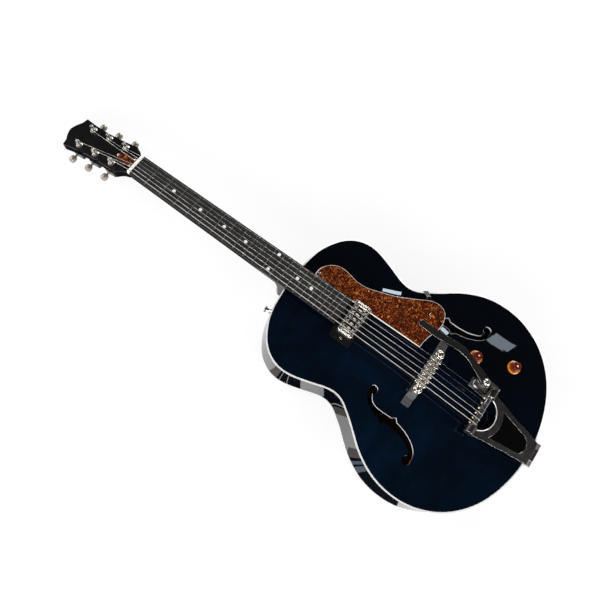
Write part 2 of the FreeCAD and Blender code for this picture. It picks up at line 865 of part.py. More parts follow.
def nut_shape():
    """Nut with a slot under each string that fans down towards the string's post."""
    blank = block_shape(d.nut_width, d.nut_thickness, d.board_thickness + d.nut_rise,
                        V(-d.nut_width / 2, 0, -d.board_thickness))
    slots = []
    for number, _, spot in TUNERS:
        half = string_gauge(number) / 2 + d.clear
        bend = nut_spot(number)
        run = NECK.inverse().multVec(HEAD.multVec(spot + V(0, 0, d.coil_start))) - bend
        reach = d.nut_thickness / 2 + d.overrun
        exit_spot = bend + run * (reach / run.y)
        entry_spot = bend - V(0, reach, 0)
        for start, end in ((entry_spot, bend), (bend, exit_spot)):
            slots.append(Part.makeLoft([slot_mouth(start, half), slot_mouth(end, half)], True, True))
    return into(NECK, blank.cut(slots))


def neck_shape():
    """One piece of wood from the headstock to the heel, with the tongue under the board's end."""
    shaft = Part.makeLoft([neck_section(-d.nut_thickness, d.neck_depth_nut),
                           neck_section(JOINT, d.neck_depth_heel)], True, True)
    under = -d.board_thickness
    heel = Part.makeLoft([
        heel_section(under, board_width(JOINT), d.heel_top_length),
        heel_section(under - d.heel_depth / 3, (board_width(JOINT) + d.heel_foot_width) / 2,
                     (d.heel_top_length + 2 * d.heel_foot_length) / 3),
        heel_section(under - d.heel_depth, d.heel_foot_width, d.heel_foot_length),
    ], True, False)
    tongue = block_shape(d.tongue_width, d.tongue_length + d.overrun, d.tongue_thickness,
                         V(-d.tongue_width / 2, -JOINT - d.tongue_length, under - d.tongue_thickness))
    head = Part.Face(head_wire())
    head.translate(V(0, 0, -HEAD_BACK))
    head = head.extrude(UP * d.head_thickness).cut(Part.makeCompound(head_holes(HEAD_BACK + d.overrun)))
    neck = into(NECK, shaft).multiFuse([into(NECK, heel), into(NECK, tongue), into(HEAD, head)])
    pocket = into(HEAD, head_holes(d.face_thickness)[-1])
    body = body_prism(0, -d.rim_depth, 0)
    return neck.cut([pocket, truss_rod_shape(), nut_shape(), body, TOP_DOME]).removeSplitter()


def head_face_shape():
    face = Part.Face(head_wire())
    face.translate(V(0, 0, -d.face_thickness))
    face = face.extrude(UP * d.face_thickness)
    holes = head_holes(HEAD_BACK)
    return into(HEAD, face.cut(Part.makeCompound(holes))).cut(nut_shape())


def camber_drop(across):
    """How far the cambered board falls away to the side."""
    return d.board_camber_radius - math.sqrt(d.board_camber_radius ** 2 - across ** 2)


def camber_rod(rise):
    """Long cylinder whose top is the board's cambered face, or stands above it."""
    return Part.makeCylinder(d.board_camber_radius + rise, BOARD_LENGTH + 2 * d.overrun,
                             V(0, d.overrun, -d.board_camber_radius), -ALONG)


def marker_rods():
    spots = [(0, number) for number in SINGLE_MARKERS]
    spots += [(side * d.marker_spread / 2, DOUBLE_MARKER) for side in (-1, 1)]
    rods = []
    for across, number in spots:
        along = -(fret_distance(number) + fret_distance(number - 1)) / 2
        floor = -d.marker_depth - camber_drop(across)
        rods.append(Part.makeCylinder(d.marker_radius, d.marker_depth + d.overrun, V(across, along, floor)))
    return [rod.common(camber_rod(0)) for rod in rods]


def fingerboard():
    """Tapered, cambered board with frets and dot markers let in."""
    near = board_width(0) / 2
    far = board_width(BOARD_LENGTH) / 2
    corners = [V(-near, 0, 0), V(near, 0, 0), V(far, -BOARD_LENGTH, 0), V(-far, -BOARD_LENGTH, 0)]
    blank = Part.Face(Part.makePolygon(corners + corners[:1]))
    blank.translate(V(0, 0, -d.board_thickness))
    blank = blank.extrude(UP * (d.board_thickness + d.overrun))
    markers = marker_rods()
    board = blank.common(camber_rod(0)).cut(Part.makeCompound(markers))
    feature("fingerboard", board, NECK)
    feature("fret_markers", Part.makeCompound(markers), NECK)
    crown = camber_rod(d.fret_height).cut(camber_rod(0))
    frets = []
    for number in range(1, FRET_COUNT + 1):
        width = board_width(fret_distance(number)) - 2 * d.fret_inset
        corner = V(-width / 2, -fret_distance(number) - d.fret_width / 2, -d.board_thickness)
        frets.append(crown.common(block_shape(width, d.fret_width, 2 * d.board_thickness, corner)))
    feature("frets", Part.makeCompound([fret.Solids[0] for fret in frets]), NECK)


def truss_cover(screw_set):
    """Bell-shaped plate over the truss rod's nut."""
    wide = d.cover_wide_end / 2
    narrow = d.cover_narrow_end / 2
    near = d.cover_gap
    far = d.cover_gap + d.cover_length
    middle = (near + far) / 2
    corner = narrow / 2
    points = [(-wide, near), (wide, near), (wide, near + corner), ((wide + narrow) / 2, middle),
              (narrow, far - corner), (corner, far), (-corner, far), (-narrow, far - corner),
              (-(wide + narrow) / 2, middle), (-wide, near + corner)]
    blank = padded_plate("cover_blank", points, "sizes.cover_thickness", HEAD)
    keep(boolean("Cut", "truss_rod_cover", blank, screw_set), "truss_rod_cover")


def cover_screw_places():
    wide = d.cover_wide_end / 2 - d.screw_head_radius
    near = d.cover_gap + 2 * d.screw_head_radius
    far = d.cover_gap + d.cover_length - 2 * d.screw_head_radius
    spots = [(-wide, near), (wide, near), (0, far)]
    return [HEAD.multiply(Placement(V(across, along, d.cover_thickness), Rotation()))
            for across, along in spots]


# Tuners

BUTTON_SHARES = ((0.42, 0.0), (0.80, 0.08), (0.97, 0.28), (1.0, 0.5), (0.97, 0.72), (0.78, 0.93), (0.40, 1.0))


def sideways(side):
    return Rotation(UP, V(side, 0, 0))


def worm_centre(spot):
    return V(0, spot.y + d.worm_offset, -HEAD_BACK - d.worm_depth)


def lug_spot(spot):
    return V(spot.x, spot.y - d.housing_lead - d.screw_head_radius, -HEAD_BACK - d.lug_thickness)


def tuner_housings(screws):
    """Closed castings on the back of the headstock, bored for the post, its gear and the worm."""
    cases = []
    fixings = into(HEAD.inverse(), screws)
    for _, side, spot in TUNERS:
        gear_space = d.gear_radius + d.gear_room + d.clear
        across = spot.x - d.housing_width / 2 + side * (d.housing_width / 2 - gear_space)
        corner = V(across, spot.y - d.housing_lead, -HEAD_BACK - d.housing_depth)
        case = block_shape(d.housing_width, d.housing_length, d.housing_depth, corner)
        upright = [edge for edge in case.Edges if abs(edge.tangentAt(0).z) > 0.5]
        case = case.makeFillet(d.housing_round, upright)
        case = case.fuse(Part.makeCylinder(d.lug_radius, d.lug_thickness, lug_spot(spot)))
        gear_base = -HEAD_BACK - d.worm_depth - d.gear_height / 2 - d.clear
        bores = [
            Part.makeCylinder(d.post_radius + d.running_fit, d.housing_depth, V(spot.x, spot.y, gear_base)),
            Part.makeCylinder(d.gear_radius + d.gear_room, d.gear_height + 2 * d.clear,
                              V(spot.x, spot.y, gear_base)),
            Part.makeCylinder(d.key_shaft_radius + d.running_fit, d.key_reach,
                              worm_centre(spot) + V(side * (d.key_inner - d.clear), 0, 0), V(side, 0, 0)),
        ]
        cases.append(case.cut(bores + [fixings]))
    feature("tuner_housings", Part.makeCompound([solid for case in cases for solid in case.Solids]), HEAD)


def tuner_bushings():
    sleeves = []
    for number, _, spot in TUNERS:
        bore = d.post_radius + d.running_fit
        profile = [(bore, -HEAD_BACK), (d.bushing_radius, -HEAD_BACK), (d.bushing_radius, 0),
                   (d.bushing_flange_radius, 0), (d.bushing_flange_radius, d.bushing_flange_height / 2),
                   (d.bushing_radius, d.bushing_flange_height), (bore, d.bushing_flange_height)]
        sleeves.append(turned(f"bushing_{number}", profile, HEAD.multiply(Placement(spot, Rotation()))))
    group("tuner_bushings", sleeves)


def tuner_post(number, spot):
    """String post with a waist, a cross hole and the gear at its foot."""
    foot = -HEAD_BACK - d.worm_depth - d.gear_height / 2
    gear_top = foot + d.gear_height
    bevel = d.post_radius - d.post_waist_radius
    profile = [(0, foot), (d.gear_radius, foot), (d.gear_radius, gear_top), (d.post_radius, gear_top),
               (d.post_radius, d.post_waist_start), (d.post_waist_radius, d.post_waist_start + bevel),
               (d.post_waist_radius, d.post_waist_end), (d.post_radius, d.post_waist_end + bevel),
               (d.post_radius, d.post_height - bevel), (d.post_waist_radius, d.post_height),
               (0, d.post_height)]
    place = HEAD.multiply(Placement(spot, Rotation()))
    post = turned(f"post_{number}", profile, place)
    start = V(0, -2 * d.post_radius, d.post_hole_height)
    hole = cylinder(f"post_bore_{number}", "sizes.post_hole_radius", "4 * sizes.post_radius",
                    place.multiply(Placement(start, Rotation(UP, ALONG))))
    keep(boolean("Cut", f"tuner_post_{number}", post, hole), f"tuner_post_{number}")


def tuner_key(number, side, spot):
    """Worm shaft and round button."""
    profile = [(0, d.key_inner), (d.key_shaft_radius, d.key_inner), (d.key_shaft_radius, d.key_reach)]
    profile += [(across * d.button_radius, d.key_reach + along * d.button_length)
                for across, along in BUTTON_SHARES]
    profile.append((0, d.key_reach + d.button_length))
    place = HEAD.multiply(Placement(worm_centre(spot), sideways(side)))
    keep(turned(f"tuner_key_{number}", profile, place), f"tuner_key_{number}")


def housing_screw_places():
    """One screw through each housing's lug into the headstock's back."""
    return [HEAD.multiply(Placement(lug_spot(spot), Rotation(ACROSS, 180))) for _, _, spot in TUNERS]


# Pickguard and pickup

def guard_point(share):
    across, along = share
    return V(d.guard_inner + across * d.guard_width, TAIL + d.guard_from_tail + along * d.guard_length, 0)


def guard_edge(inset):
    """Outside edge of the guard, moved inwards by the inset."""
    points = [guard_point(share) for share in GUARD_EDGE_SHARES]
    curve = spline(points)
    runs = [curve.tangent(curve.parameter(point))[0] for point in points]
    moved = [point + V(run.y, -run.x, 0) * inset for point, run in zip(points, runs)]
    return moved[:-1] + [moved[-1] + V(inset, 0, 0)]


def guard_plate(inset, bottom, thickness):
    """Guard outline: beside the board and the pickup, then round the treble side."""
    edge = guard_edge(inset)
    board_end = -BOARD_LENGTH * math.cos(NECK_SLOPE)
    gap = d.guard_board_gap + inset
    inside = [
        edge[-1],
        V(d.guard_inner + inset, PICKUP, 0),
        V(board_width(BOARD_LENGTH) / 2 + gap, board_end, 0),
        V(board_width(-edge[0].y) / 2 + gap, edge[0].y, 0),
        edge[0],
    ]
    lines = [Part.makeLine(start, end) for start, end in zip(inside, inside[1:])]
    wire = joined_wire([spline(edge).toShape()] + lines)
    plate = Part.Face(wire)
    plate.translate(V(0, 0, bottom))
    plate = plate.extrude(UP * thickness)
    length = d.pickup_length + 2 * (d.clear + inset)
    width = d.pickup_width + 2 * (d.clear + inset)
    notch = block_shape(length, width, 2 * d.guard_top, V(-length / 2, PICKUP - width / 2, 0))
    return max(plate.cut(notch).Solids, key=lambda solid: solid.Volume)


GUARD_FLOOR = d.guard_top - d.guard_face - d.guard_base


def bracket_place():
    """Point on the treble waist's rim, looking outwards."""
    across, along = WAIST_SHARES[0]
    edge = body_half_curve(0)
    spot = V(across * d.waist / 2, TAIL + along * d.body_length, 0)
    run = edge.tangent(edge.parameter(spot))[0]
    return Placement(spot, Rotation(ACROSS, V(run.y, -run.x, 0)))


def bracket_strip():
    """Strip bent down past the guard's edge, and down again at the rim."""
    edge = d.clear + d.bracket_thickness
    start = edge - d.bracket_length
    under = GUARD_FLOOR - d.bracket_thickness
    foot = GUARD_FLOOR - d.bracket_drop
    fall = math.atan2(GUARD_FLOOR - d.bracket_rise, edge + d.bracket_bend)
    upper = d.bracket_thickness * math.tan(fall / 2)
    lower = d.bracket_thickness * math.tan((math.pi / 2 - fall) / 2)
    spots = [(start, GUARD_FLOOR), (-d.bracket_bend, GUARD_FLOOR), (edge, d.bracket_rise), (edge, foot),
             (d.clear, foot), (d.clear, d.bracket_rise - lower), (-d.bracket_bend - upper, under),
             (start, under)]
    corners = [V(across, -d.bracket_width / 2, height) for across, height in spots]
    face = Part.Face(Part.makePolygon(corners + corners[:1]))
    return face.extrude(ALONG * d.bracket_width)


def guard_screw_places():
    return [Placement(guard_point(share) + V(0, 0, d.guard_top), Rotation()) for share in GUARD_SCREW_SHARES]


def pickguard(screws):
    face = guard_plate(d.guard_border, d.guard_top - d.guard_face, d.guard_face)
    base = guard_plate(0, GUARD_FLOOR, d.guard_base)
    feature("pickguard", face.cut(screws))
    feature("pickguard_base", base.cut(screws))
    feature("pickguard_bracket", into(bracket_place(), bracket_strip()).cut(screws))


def upright_edges(shape):
    return [edge for edge in shape.Edges if abs(edge.tangentAt(edge.FirstParameter).z) > 0.5]


def pickup(screws):
    """Metal cover over a coil, hung in a black surround that is fitted to the arch."""
    corner = V(-d.pickup_length / 2, PICKUP - d.pickup_width / 2, d.pickup_top - d.pickup_height)
    shell = block_shape(d.pickup_length, d.pickup_width, d.pickup_height, corner)
    shell = shell.makeFillet(d.pickup_round, upright_edges(shell))
    wall = V(d.pickup_wall, d.pickup_wall, 0)
    room = block_shape(d.pickup_length - 2 * d.pickup_wall, d.pickup_width - 2 * d.pickup_wall,
                       d.pickup_height - d.pickup_wall, corner + wall)
    room = room.makeFillet(d.pickup_round - d.pickup_wall, upright_edges(room))
    feature("pickup_cover", shell.cut(room))
    margin = d.pickup_wall + d.coil_margin
    place = Placement(corner + V(margin, margin, d.pickup_height - d.pickup_wall - d.coil_height), Rotation())
    inner = "2 * (sizes.pickup_wall + sizes.coil_margin)"
    coil = box("pickup_coil", f"sizes.pickup_length - {inner}", f"sizes.pickup_width - {inner}",
               "sizes.coil_height", place)
    keep(coil, "pickup_coil")
    ring = block_shape(d.surround_length, d.surround_width, d.surround_top,
                       V(-d.surround_length / 2, PICKUP - d.surround_width / 2, 0))
    ring = ring.makeFillet(d.surround_round, upright_edges(ring))
    length = d.pickup_length + 2 * d.clear
    width = d.pickup_width + 2 * d.clear
    window = block_shape(length, width, d.surround_top, V(-length / 2, PICKUP - width / 2, 0))
    feature("pickup_surround", ring.cut([window, TOP_DOME, screws]))


def surround_screw_places():
    half = d.surround_screw_spread / 2
    return [Placement(V(side * half, PICKUP, d.surround_top), Rotation()) for side in (-1, 1)]


# Bridge

WHEEL_FLOOR = d.bridge_base_top + d.wheel_lift
BRIDGE_FLOOR = WHEEL_FLOOR + d.wheel_height
BRIDGE_TOP = BRIDGE_FLOOR + d.bridge_body_height
POST_SPOTS = [V(side * d.bridge_post_spacing / 2, BRIDGE, 0) for side in (-1, 1)]


def string_across(number, spacing):
    return ((STRING_COUNT + 1) / 2 - number) * spacing


def string_gauge(number):
    return float(sheet.get(f"string_{number}"))


def saddle_spot(number):
    """Saddles step back towards the bass side in each half of the set."""
    step = (number - 1) % 3 - 1
    return V(string_across(number, d.bridge_string_spacing), BRIDGE - step * d.saddle_stagger, 0)


def saddle_top(number):
    return d.string_height - camber_drop(string_across(number, d.bridge_string_spacing))


def saddle_screw_places():
    """Adjusting screws enter the saddles from the tail side."""
    level = BRIDGE_TOP - d.saddle_slot_depth / 2
    places = []
    for number in range(1, STRING_COUNT + 1):
        spot = V(string_across(number, d.bridge_string_spacing), BRIDGE - d.bridge_body_width / 2, level)
        places.append(Placement(spot, Rotation(UP, -ALONG)))
    return places


def bridge(screws):
    """Arched wooden base, two threaded posts with height wheels, metal body and six saddles."""
    half = d.bridge_base_length / 2
    step = d.bridge_base_step / 2
    slope = step + d.bridge_base_flare
    profile = [(-half, 0), (half, 0), (half, d.bridge_base_wing), (slope, d.bridge_base_wing),
               (step, d.bridge_base_top), (-step, d.bridge_base_top), (-slope, d.bridge_base_wing),
               (-half, d.bridge_base_wing)]
    upright = Placement(V(0, BRIDGE + d.bridge_base_width / 2, 0), Rotation(ACROSS, 90))
    blank = padded_plate("bridge_blank", profile, "sizes.bridge_base_width", upright)
    dome = doc.addObject("Part::Feature", "top_form")
    dome.Shape = TOP_DOME
    dome.Placement = HOME
    fitted = boolean("Cut", "bridge_fitted", blank, dome)
    posts = []
    wheels = []
    length = "sizes.bridge_post_sink + sizes.wheel_lift + sizes.wheel_height + sizes.bridge_body_height"
    for number, spot in enumerate(POST_SPOTS, start=1):
        place = Placement(spot + V(0, 0, d.bridge_base_top - d.bridge_post_sink), Rotation())
        posts.append(cylinder(f"bridge_post_{number}", "sizes.bridge_post_radius", length, place))
        rim = [(d.bridge_post_radius, 0), (d.wheel_radius, 0), (d.wheel_radius, d.wheel_height),
               (d.bridge_post_radius, d.wheel_height)]
        wheels.append(turned(f"wheel_{number}", rim, Placement(spot + V(0, 0, WHEEL_FLOOR), Rotation())))
    post_group = group("bridge_posts", posts)
    keep(boolean("Cut", "bridge_base", fitted, post_group), "bridge_base")
    group("bridge_thumbwheels", wheels)
    beam = block_shape(d.bridge_post_spacing, d.bridge_body_width, d.bridge_body_height,
                       V(-d.bridge_post_spacing / 2, BRIDGE - d.bridge_body_width / 2, BRIDGE_FLOOR))
    ends = [Part.makeCylinder(d.bridge_end_radius, d.bridge_body_height, spot + V(0, 0, BRIDGE_FLOOR))
            for spot in POST_SPOTS]
    holes = [Part.makeCylinder(d.bridge_post_radius, d.bridge_body_height, spot + V(0, 0, BRIDGE_FLOOR))
             for spot in POST_SPOTS]
    slots = []
    saddles = []
    for number in range(1, STRING_COUNT + 1):
        spot = saddle_spot(number)
        wide = d.saddle_width / 2
        floor = BRIDGE_TOP - d.saddle_slot_depth
        slot_length = d.saddle_length + 2 * d.saddle_stagger
        slots.append(block_shape(d.saddle_width, slot_length, d.bridge_body_height,
                                 V(spot.x - wide, BRIDGE - slot_length / 2, floor)))
        top = saddle_top(number) - d.saddle_gap
        long = d.saddle_length / 2
        side = [V(spot.x - wide, spot.y - long, floor), V(spot.x - wide, spot.y + long, floor),
                V(spot.x - wide, spot.y + long, BRIDGE_TOP), V(spot.x - wide, spot.y, top),
                V(spot.x - wide, spot.y - long, BRIDGE_TOP)]
        block = Part.Face(Part.makePolygon(side + side[:1])).extrude(V(d.saddle_width, 0, 0))
        saddles.append(block.cut(screws))
    body = beam.multiFuse(ends).cut(holes + slots + [screws]).removeSplitter()
    feature("bridge_body", body)
    feature("bridge_saddles", Part.makeCompound([solid for saddle in saddles for solid in saddle.Solids]))


# Vibrato tailpiece, drawn in the frame's own plane with the hinge at its origin

BAR = V(0, d.bar_reach, d.bar_lift)
BAR_CENTRE = VIBRATO.multVec(BAR)
SHELF_TOP = -d.shelf_drop
PLATE_FLOOR = SHELF_TOP + d.spring_height
PLATE_TOP = PLATE_FLOOR + d.bracket_plate_thickness
CHEEK_INNER = d.ear_outer + d.cheek_gap
CHEEK_OUTER = CHEEK_INNER + d.cheek_thickness
ARM = VIBRATO.multiply(Placement(V(d.pivot_across, d.pivot_reach, PLATE_TOP), Rotation(ACROSS, d.arm_tilt)))
PIN_ANGLE = -math.radians(d.pin_slope)


def flat_plate(points, bottom, thickness):
    corners = [V(across, along, bottom) for across, along in points]
    return Part.Face(Part.makePolygon(corners + corners[:1])).extrude(UP * thickness)


def across_rod(radius, start, end, centre):
    """Cylinder parallel to the string bar."""
    return Part.makeCylinder(radius, end - start, centre + V(start, 0, 0), ACROSS)


def panel_outline(bottom, thickness):
    """Window between the frame's rails: hollow front, straight sides, round tail."""
    tail = V(0, d.panel_tail_centre, 0)
    flare = (d.frame_front_width / 2 - d.hinge_half_width) / (d.frame_front - d.frame_tail_start)
    lean = math.atan(flare)
    shoulder = tail + V(d.panel_tail_radius * math.cos(lean), -d.panel_tail_radius * math.sin(lean), 0)
    reach = d.bar_reach
    front = V(shoulder.x + (reach - shoulder.y) * flare, reach, 0)
    wedge = [shoulder, front, V(-front.x, reach, 0), V(-shoulder.x, shoulder.y, 0)]
    arc = Part.Arc(wedge[3], tail - V(0, d.panel_tail_radius, 0), wedge[0]).toShape()
    sides = [Part.makeLine(start, end) for start, end in zip(wedge, wedge[1:])]
    face = Part.Face(joined_wire(sides + [arc]))
    face.translate(V(0, 0, bottom))
    solid = face.extrude(UP * thickness)
    bow = Part.makeCylinder(d.panel_front_radius, 2 * d.frame_thickness + thickness,
                            V(0, d.bar_reach, bottom - d.frame_thickness))
    return solid.cut(bow)


def vibrato_frame():
    """V-shaped casting with a horseshoe front, two bearing ears and a spring shelf."""
    low = -d.frame_thickness / 2
    middle = d.hinge_middle
    half = d.hinge_half_width
    front = d.frame_front_width / 2
    right = [(middle, 0), (middle, d.frame_tail_start), (half, d.frame_tail_start),
             (d.frame_waist_width / 2, d.frame_waist), (front, d.frame_front), (d.ear_outer, d.bar_reach)]
    left = [(-across, along) for across, along in reversed(right)]
    plate = flat_plate(right + left, low, d.frame_thickness)
    horseshoe = Part.makeCylinder(d.horseshoe_radius, 2 * d.frame_thickness, V(0, d.bar_reach, 2 * low))
    window = panel_outline(2 * low, 2 * d.frame_thickness)
    plate = plate.cut([horseshoe, window])
    knuckle = across_rod(d.hinge_radius, -middle, middle, V(0, 0, 0))
    shelf = flat_plate([(d.shelf_inner, d.bar_reach), (d.ear_outer, d.bar_reach), (d.ear_outer, d.shelf_end),
                        (d.shelf_inner, d.shelf_end)], SHELF_TOP - d.shelf_thickness, d.shelf_thickness)
    ears = []
    bores = [across_rod(d.hinge_pin_radius, -half, half, V(0, 0, 0))]
    for start, end in ((-d.ear_outer, -d.ear_inner), (d.ear_inner, d.ear_outer)):
        ears.append(across_rod(d.ear_radius, start, end, BAR))
        bores.append(across_rod(d.bearing_radius, start - d.overrun, end + d.overrun, BAR))
    frame = plate.multiFuse([knuckle, shelf] + ears).cut(bores).removeSplitter()
    feature("vibrato_frame", frame, VIBRATO)
    panel_floor = d.frame_thickness / 2 - d.panel_thickness
    feature("vibrato_panel", panel_outline(panel_floor - d.clear, d.panel_thickness), VIBRATO)


def vibrato_bearings():
    rings = []
    for start, end in ((-d.ear_outer, -d.ear_inner), (d.ear_inner, d.ear_outer)):
        ring = across_rod(d.bearing_radius, start, end, BAR)
        rings.append(ring.cut(across_rod(d.journal_radius + d.running_fit, start, end, BAR)))
    feature("vibrato_bearings", Part.makeCompound(rings), VIBRATO)


def tail_screw_places():
    """Four screws through the hinge plate into the tail block."""
    half = d.hinge_half_width - 2 * d.screw_head_radius
    pitch = d.hinge_plate_height / (TAIL_SCREW_ROWS + 1)
    face = TAIL - d.hinge_plate_thickness
    return [Placement(V(side * half, face, -pitch * row), Rotation(UP, -ALONG))
            for row in range(1, TAIL_SCREW_ROWS + 1) for side in (-1, 1)]


def hinge_plate(screws):
    """Plate screwed to the tail, with the two outer knuckles of the hinge."""
    half = d.hinge_half_width
    hinge = VIBRATO.Base
    plate = block_shape(2 * half, 2 * d.hinge_plate_thickness, d.hinge_plate_height + d.hinge_lift,
                        V(-half, TAIL - d.hinge_plate_thickness, -d.hinge_plate_height))
    relief = 2 * (d.hinge_middle + d.clear)
    notch = block_shape(relief, 2 * d.hinge_radius, 2 * (d.hinge_radius + d.clear),
                        V(-relief / 2, TAIL - d.hinge_radius, d.hinge_lift - d.hinge_radius - d.clear))
    knuckles = [across_rod(d.hinge_radius, start, end, hinge)
                for start, end in ((-half, -d.hinge_middle - d.clear), (d.hinge_middle + d.clear, half))]
    bore = across_rod(d.hinge_pin_radius, -half, half, hinge)
    body = body_prism(0, -d.rim_depth, d.hinge_lift + d.hinge_radius)
    room = block_shape(2 * (half + d.overrun), d.bar_reach, d.frame_thickness + 2 * d.clear,
                       V(-half - d.overrun, d.frame_tail_start - d.clear, -d.frame_thickness / 2 - d.clear))
    room = into(VIBRATO, room)
    shape = plate.cut([body, notch]).multiFuse(knuckles).cut([bore, body, room, screws]).removeSplitter()
    feature("vibrato_hinge_plate", shape)
    pin = cylinder("vibrato_hinge_pin", "sizes.hinge_pin_radius", "2 * sizes.hinge_half_width",
                   Placement(hinge - V(half, 0, 0), Rotation(UP, ACROSS)))
    keep(pin, "vibrato_hinge_pin")


def pin_way():
    return V(0, math.cos(PIN_ANGLE), math.sin(PIN_ANGLE))


def vibrato_bar():
    """Turned string bar with a pin for each ball end."""
    middle = d.ear_inner - d.clear
    rod = across_rod(d.journal_radius, -d.ear_outer, CHEEK_OUTER, BAR)
    drum = across_rod(d.bar_radius, -middle, middle, BAR)
    pins = []
    for number in range(1, STRING_COUNT + 1):
        foot = BAR + V(string_across(number, d.bridge_string_spacing), 0, 0)
        pins.append(Part.makeCylinder(d.pin_radius, d.bar_radius + d.pin_length, foot, pin_way()))
    feature("vibrato_bar", rod.multiFuse([drum] + pins).removeSplitter(), VIBRATO)


def arm_bracket():
    """Cheek clamped on the bar's treble end, with the spring cup and the arm's boss."""
    cheek = across_rod(d.cheek_radius, CHEEK_INNER, CHEEK_OUTER, BAR)
    web = block_shape(d.cheek_thickness, d.bracket_plate_end - d.bar_reach, PLATE_TOP - BAR.z,
                      V(CHEEK_INNER, d.bar_reach, BAR.z))
    cup_radius = d.spring_radius + d.spring_wire + d.clear
    cup_outer = cup_radius + d.spring_cup_wall
    plate_inner = d.spring_across - cup_outer
    plate = block_shape(CHEEK_OUTER - plate_inner, d.bracket_plate_end - d.bracket_plate_start,
                        d.bracket_plate_thickness, V(plate_inner, d.bracket_plate_start, PLATE_FLOOR))
    spring_top = V(d.spring_across, d.spring_reach, PLATE_FLOOR - d.cup_height)
    cup = Part.makeCylinder(cup_outer, d.cup_height + d.bracket_plate_thickness, spring_top)
    hollow = Part.makeCylinder(cup_radius, d.cup_height, spring_top)
    boss = Part.makeCylinder(d.pivot_boss_radius, d.pivot_boss_height + d.bracket_plate_thickness,
                             V(0, 0, -d.bracket_plate_thickness))
    boss = into(VIBRATO.inverse().multiply(ARM), boss)
    bore = across_rod(d.journal_radius, CHEEK_INNER, CHEEK_OUTER, BAR)
    bolt = into(VIBRATO.inverse().multiply(ARM), bolt_shape())
    shape = cheek.multiFuse([web, plate, cup, boss]).cut([bore, hollow, bolt]).removeSplitter()
    feature("arm_bracket", shape, VIBRATO)


def bolt_shape():
    """Shouldered bolt with a domed head above the arm."""
    foot = -d.bracket_plate_thickness / 2
    seat = d.pivot_boss_height + d.arm_thickness + 2 * d.clear
    shank = Part.makeCylinder(d.bolt_radius, seat - foot, V(0, 0, foot))
    head = Part.makeCylinder(d.bolt_head_radius, d.bolt_head_height, V(0, 0, seat))
    head = head.makeFillet(d.bolt_head_height / 3, [head.Edges[0]])
    return shank.fuse(head)


def vibrato_arm():
    """Flat handle that bows out beside the strings from a round root on the bolt."""
    line = spline([V(across * d.arm_sweep, along * d.arm_length, 0) for across, along in ARM_SHARES])
    sides = ([], [])
    for (across, along), width in zip(ARM_SHARES, ARM_WIDTH_SHARES):
        spot = V(across * d.arm_sweep, along * d.arm_length, 0)
        run = line.tangent(line.parameter(spot))[0]
        edge = V(-run.y, run.x, 0) * (width * d.arm_width / 2)
        sides[0].append(spot + edge)
        sides[1].append(spot - edge)
    tip = line.value(line.LastParameter) + line.tangent(line.LastParameter)[0] * (d.arm_width / 2)
    outline = joined_wire([
        spline(sides[0]).toShape(),
        Part.Arc(sides[0][-1], tip, sides[1][-1]).toShape(),
        spline(sides[1]).toShape(),
        Part.makeLine(sides[1][0], sides[0][0]),
    ])
    floor = V(0, 0, d.pivot_boss_height + d.clear)
    handle = Part.Face(outline).extrude(UP * d.arm_thickness)
    root = Part.makeCylinder(d.arm_root_radius, d.arm_thickness)
    hole = Part.makeCylinder(d.bolt_radius + d.running_fit, d.arm_thickness)
    arm = handle.fuse(root).cut(hole).removeSplitter()
    arm.translate(floor)
    feature("vibrato_arm", arm, ARM)
    feature("arm_bolt", bolt_shape(), ARM)


# Wound and drawn wire

def arc_from(start, way, end):
    """Arc that leaves a point along a way and ends at another point."""
    chord = end - start
    side = way - chord * (way.dot(chord) / chord.dot(chord))
    if side.Length < 1e-6:
        return Part.makeLine(start, end)
    turn = way.getAngle(chord)
    bulge = side.normalize() * (chord.Length / 2 * math.tan(turn / 2))
    return Part.Arc(start, start + chord / 2 + bulge, end).toShape()


def biarc(start, start_way, end, end_way):
    """Two tangent arcs between two points with given ways."""
    chord = end - start
    ways = start_way + end_way
    spread = 2 * (1 - start_way.dot(end_way))
    along = chord.dot(ways)
    if spread < 1e-9:
        reach = chord.dot(chord) / (2 * along)
    else:
        reach = (math.sqrt(along ** 2 + spread * chord.dot(chord)) - along) / spread
    middle = (start + start_way * reach + end - end_way * reach) / 2
    first = arc_from(start, start_way, middle)
    second = arc_from(end, -end_way, middle)
    return [first, second]


def helix_point(centre, radius, pitch, angle, turn, hand):
    """Point and way on a helix about the z axis after part of a turn."""
    swing = angle + hand * turn
    spot = centre + V(radius * math.cos(swing), radius * math.sin(swing), pitch * turn / (2 * math.pi))
    way = V(-hand * radius * math.sin(swing), hand * radius * math.cos(swing), pitch / (2 * math.pi))
    return spot, way.normalize()


def helix_edges(centre, radius, pitch, angle, start, end, hand):
    """Half turns of a helix as biarcs."""
    steps = math.ceil((end - start) / math.pi - 1e-6)
    turns = [start + (end - start) * step / steps for step in range(steps + 1)]
    nodes = [helix_point(centre, radius, pitch, angle, turn, hand) for turn in turns]
    edges = []
    for (spot, way), (next_spot, next_way) in zip(nodes, nodes[1:]):
        edges += biarc(spot, way, next_spot, next_way)
    return edges


def wire_tube(edges, radius):
    """Round wire drawn along a path."""
    path = Part.Wire(Part.__sortEdges__(edges))
    start = path.OrderedEdges[0]
    spot = path.OrderedVertexes[0].Point
    way = start.tangentAt(start.FirstParameter)
    section = Part.Wire(Part.makeCircle(radius, spot, way))
    return path.makePipeShell([section], True, False)


def self_gap(edges, radius, lag):
    """Least gap between stretches of a wire that lie at least the lag apart along it."""
    path = Part.Wire(Part.__sortEdges__(edges))
    count = max(int(path.Length / radius), 60)
    points = path.discretize(count)
    step = path.Length / (count - 1)
    apart = int(lag / step) + 1
    least = min((points[i] - points[j]).Length for i in range(count) for j in range(i + apart, count))
    return least - 2 * radius


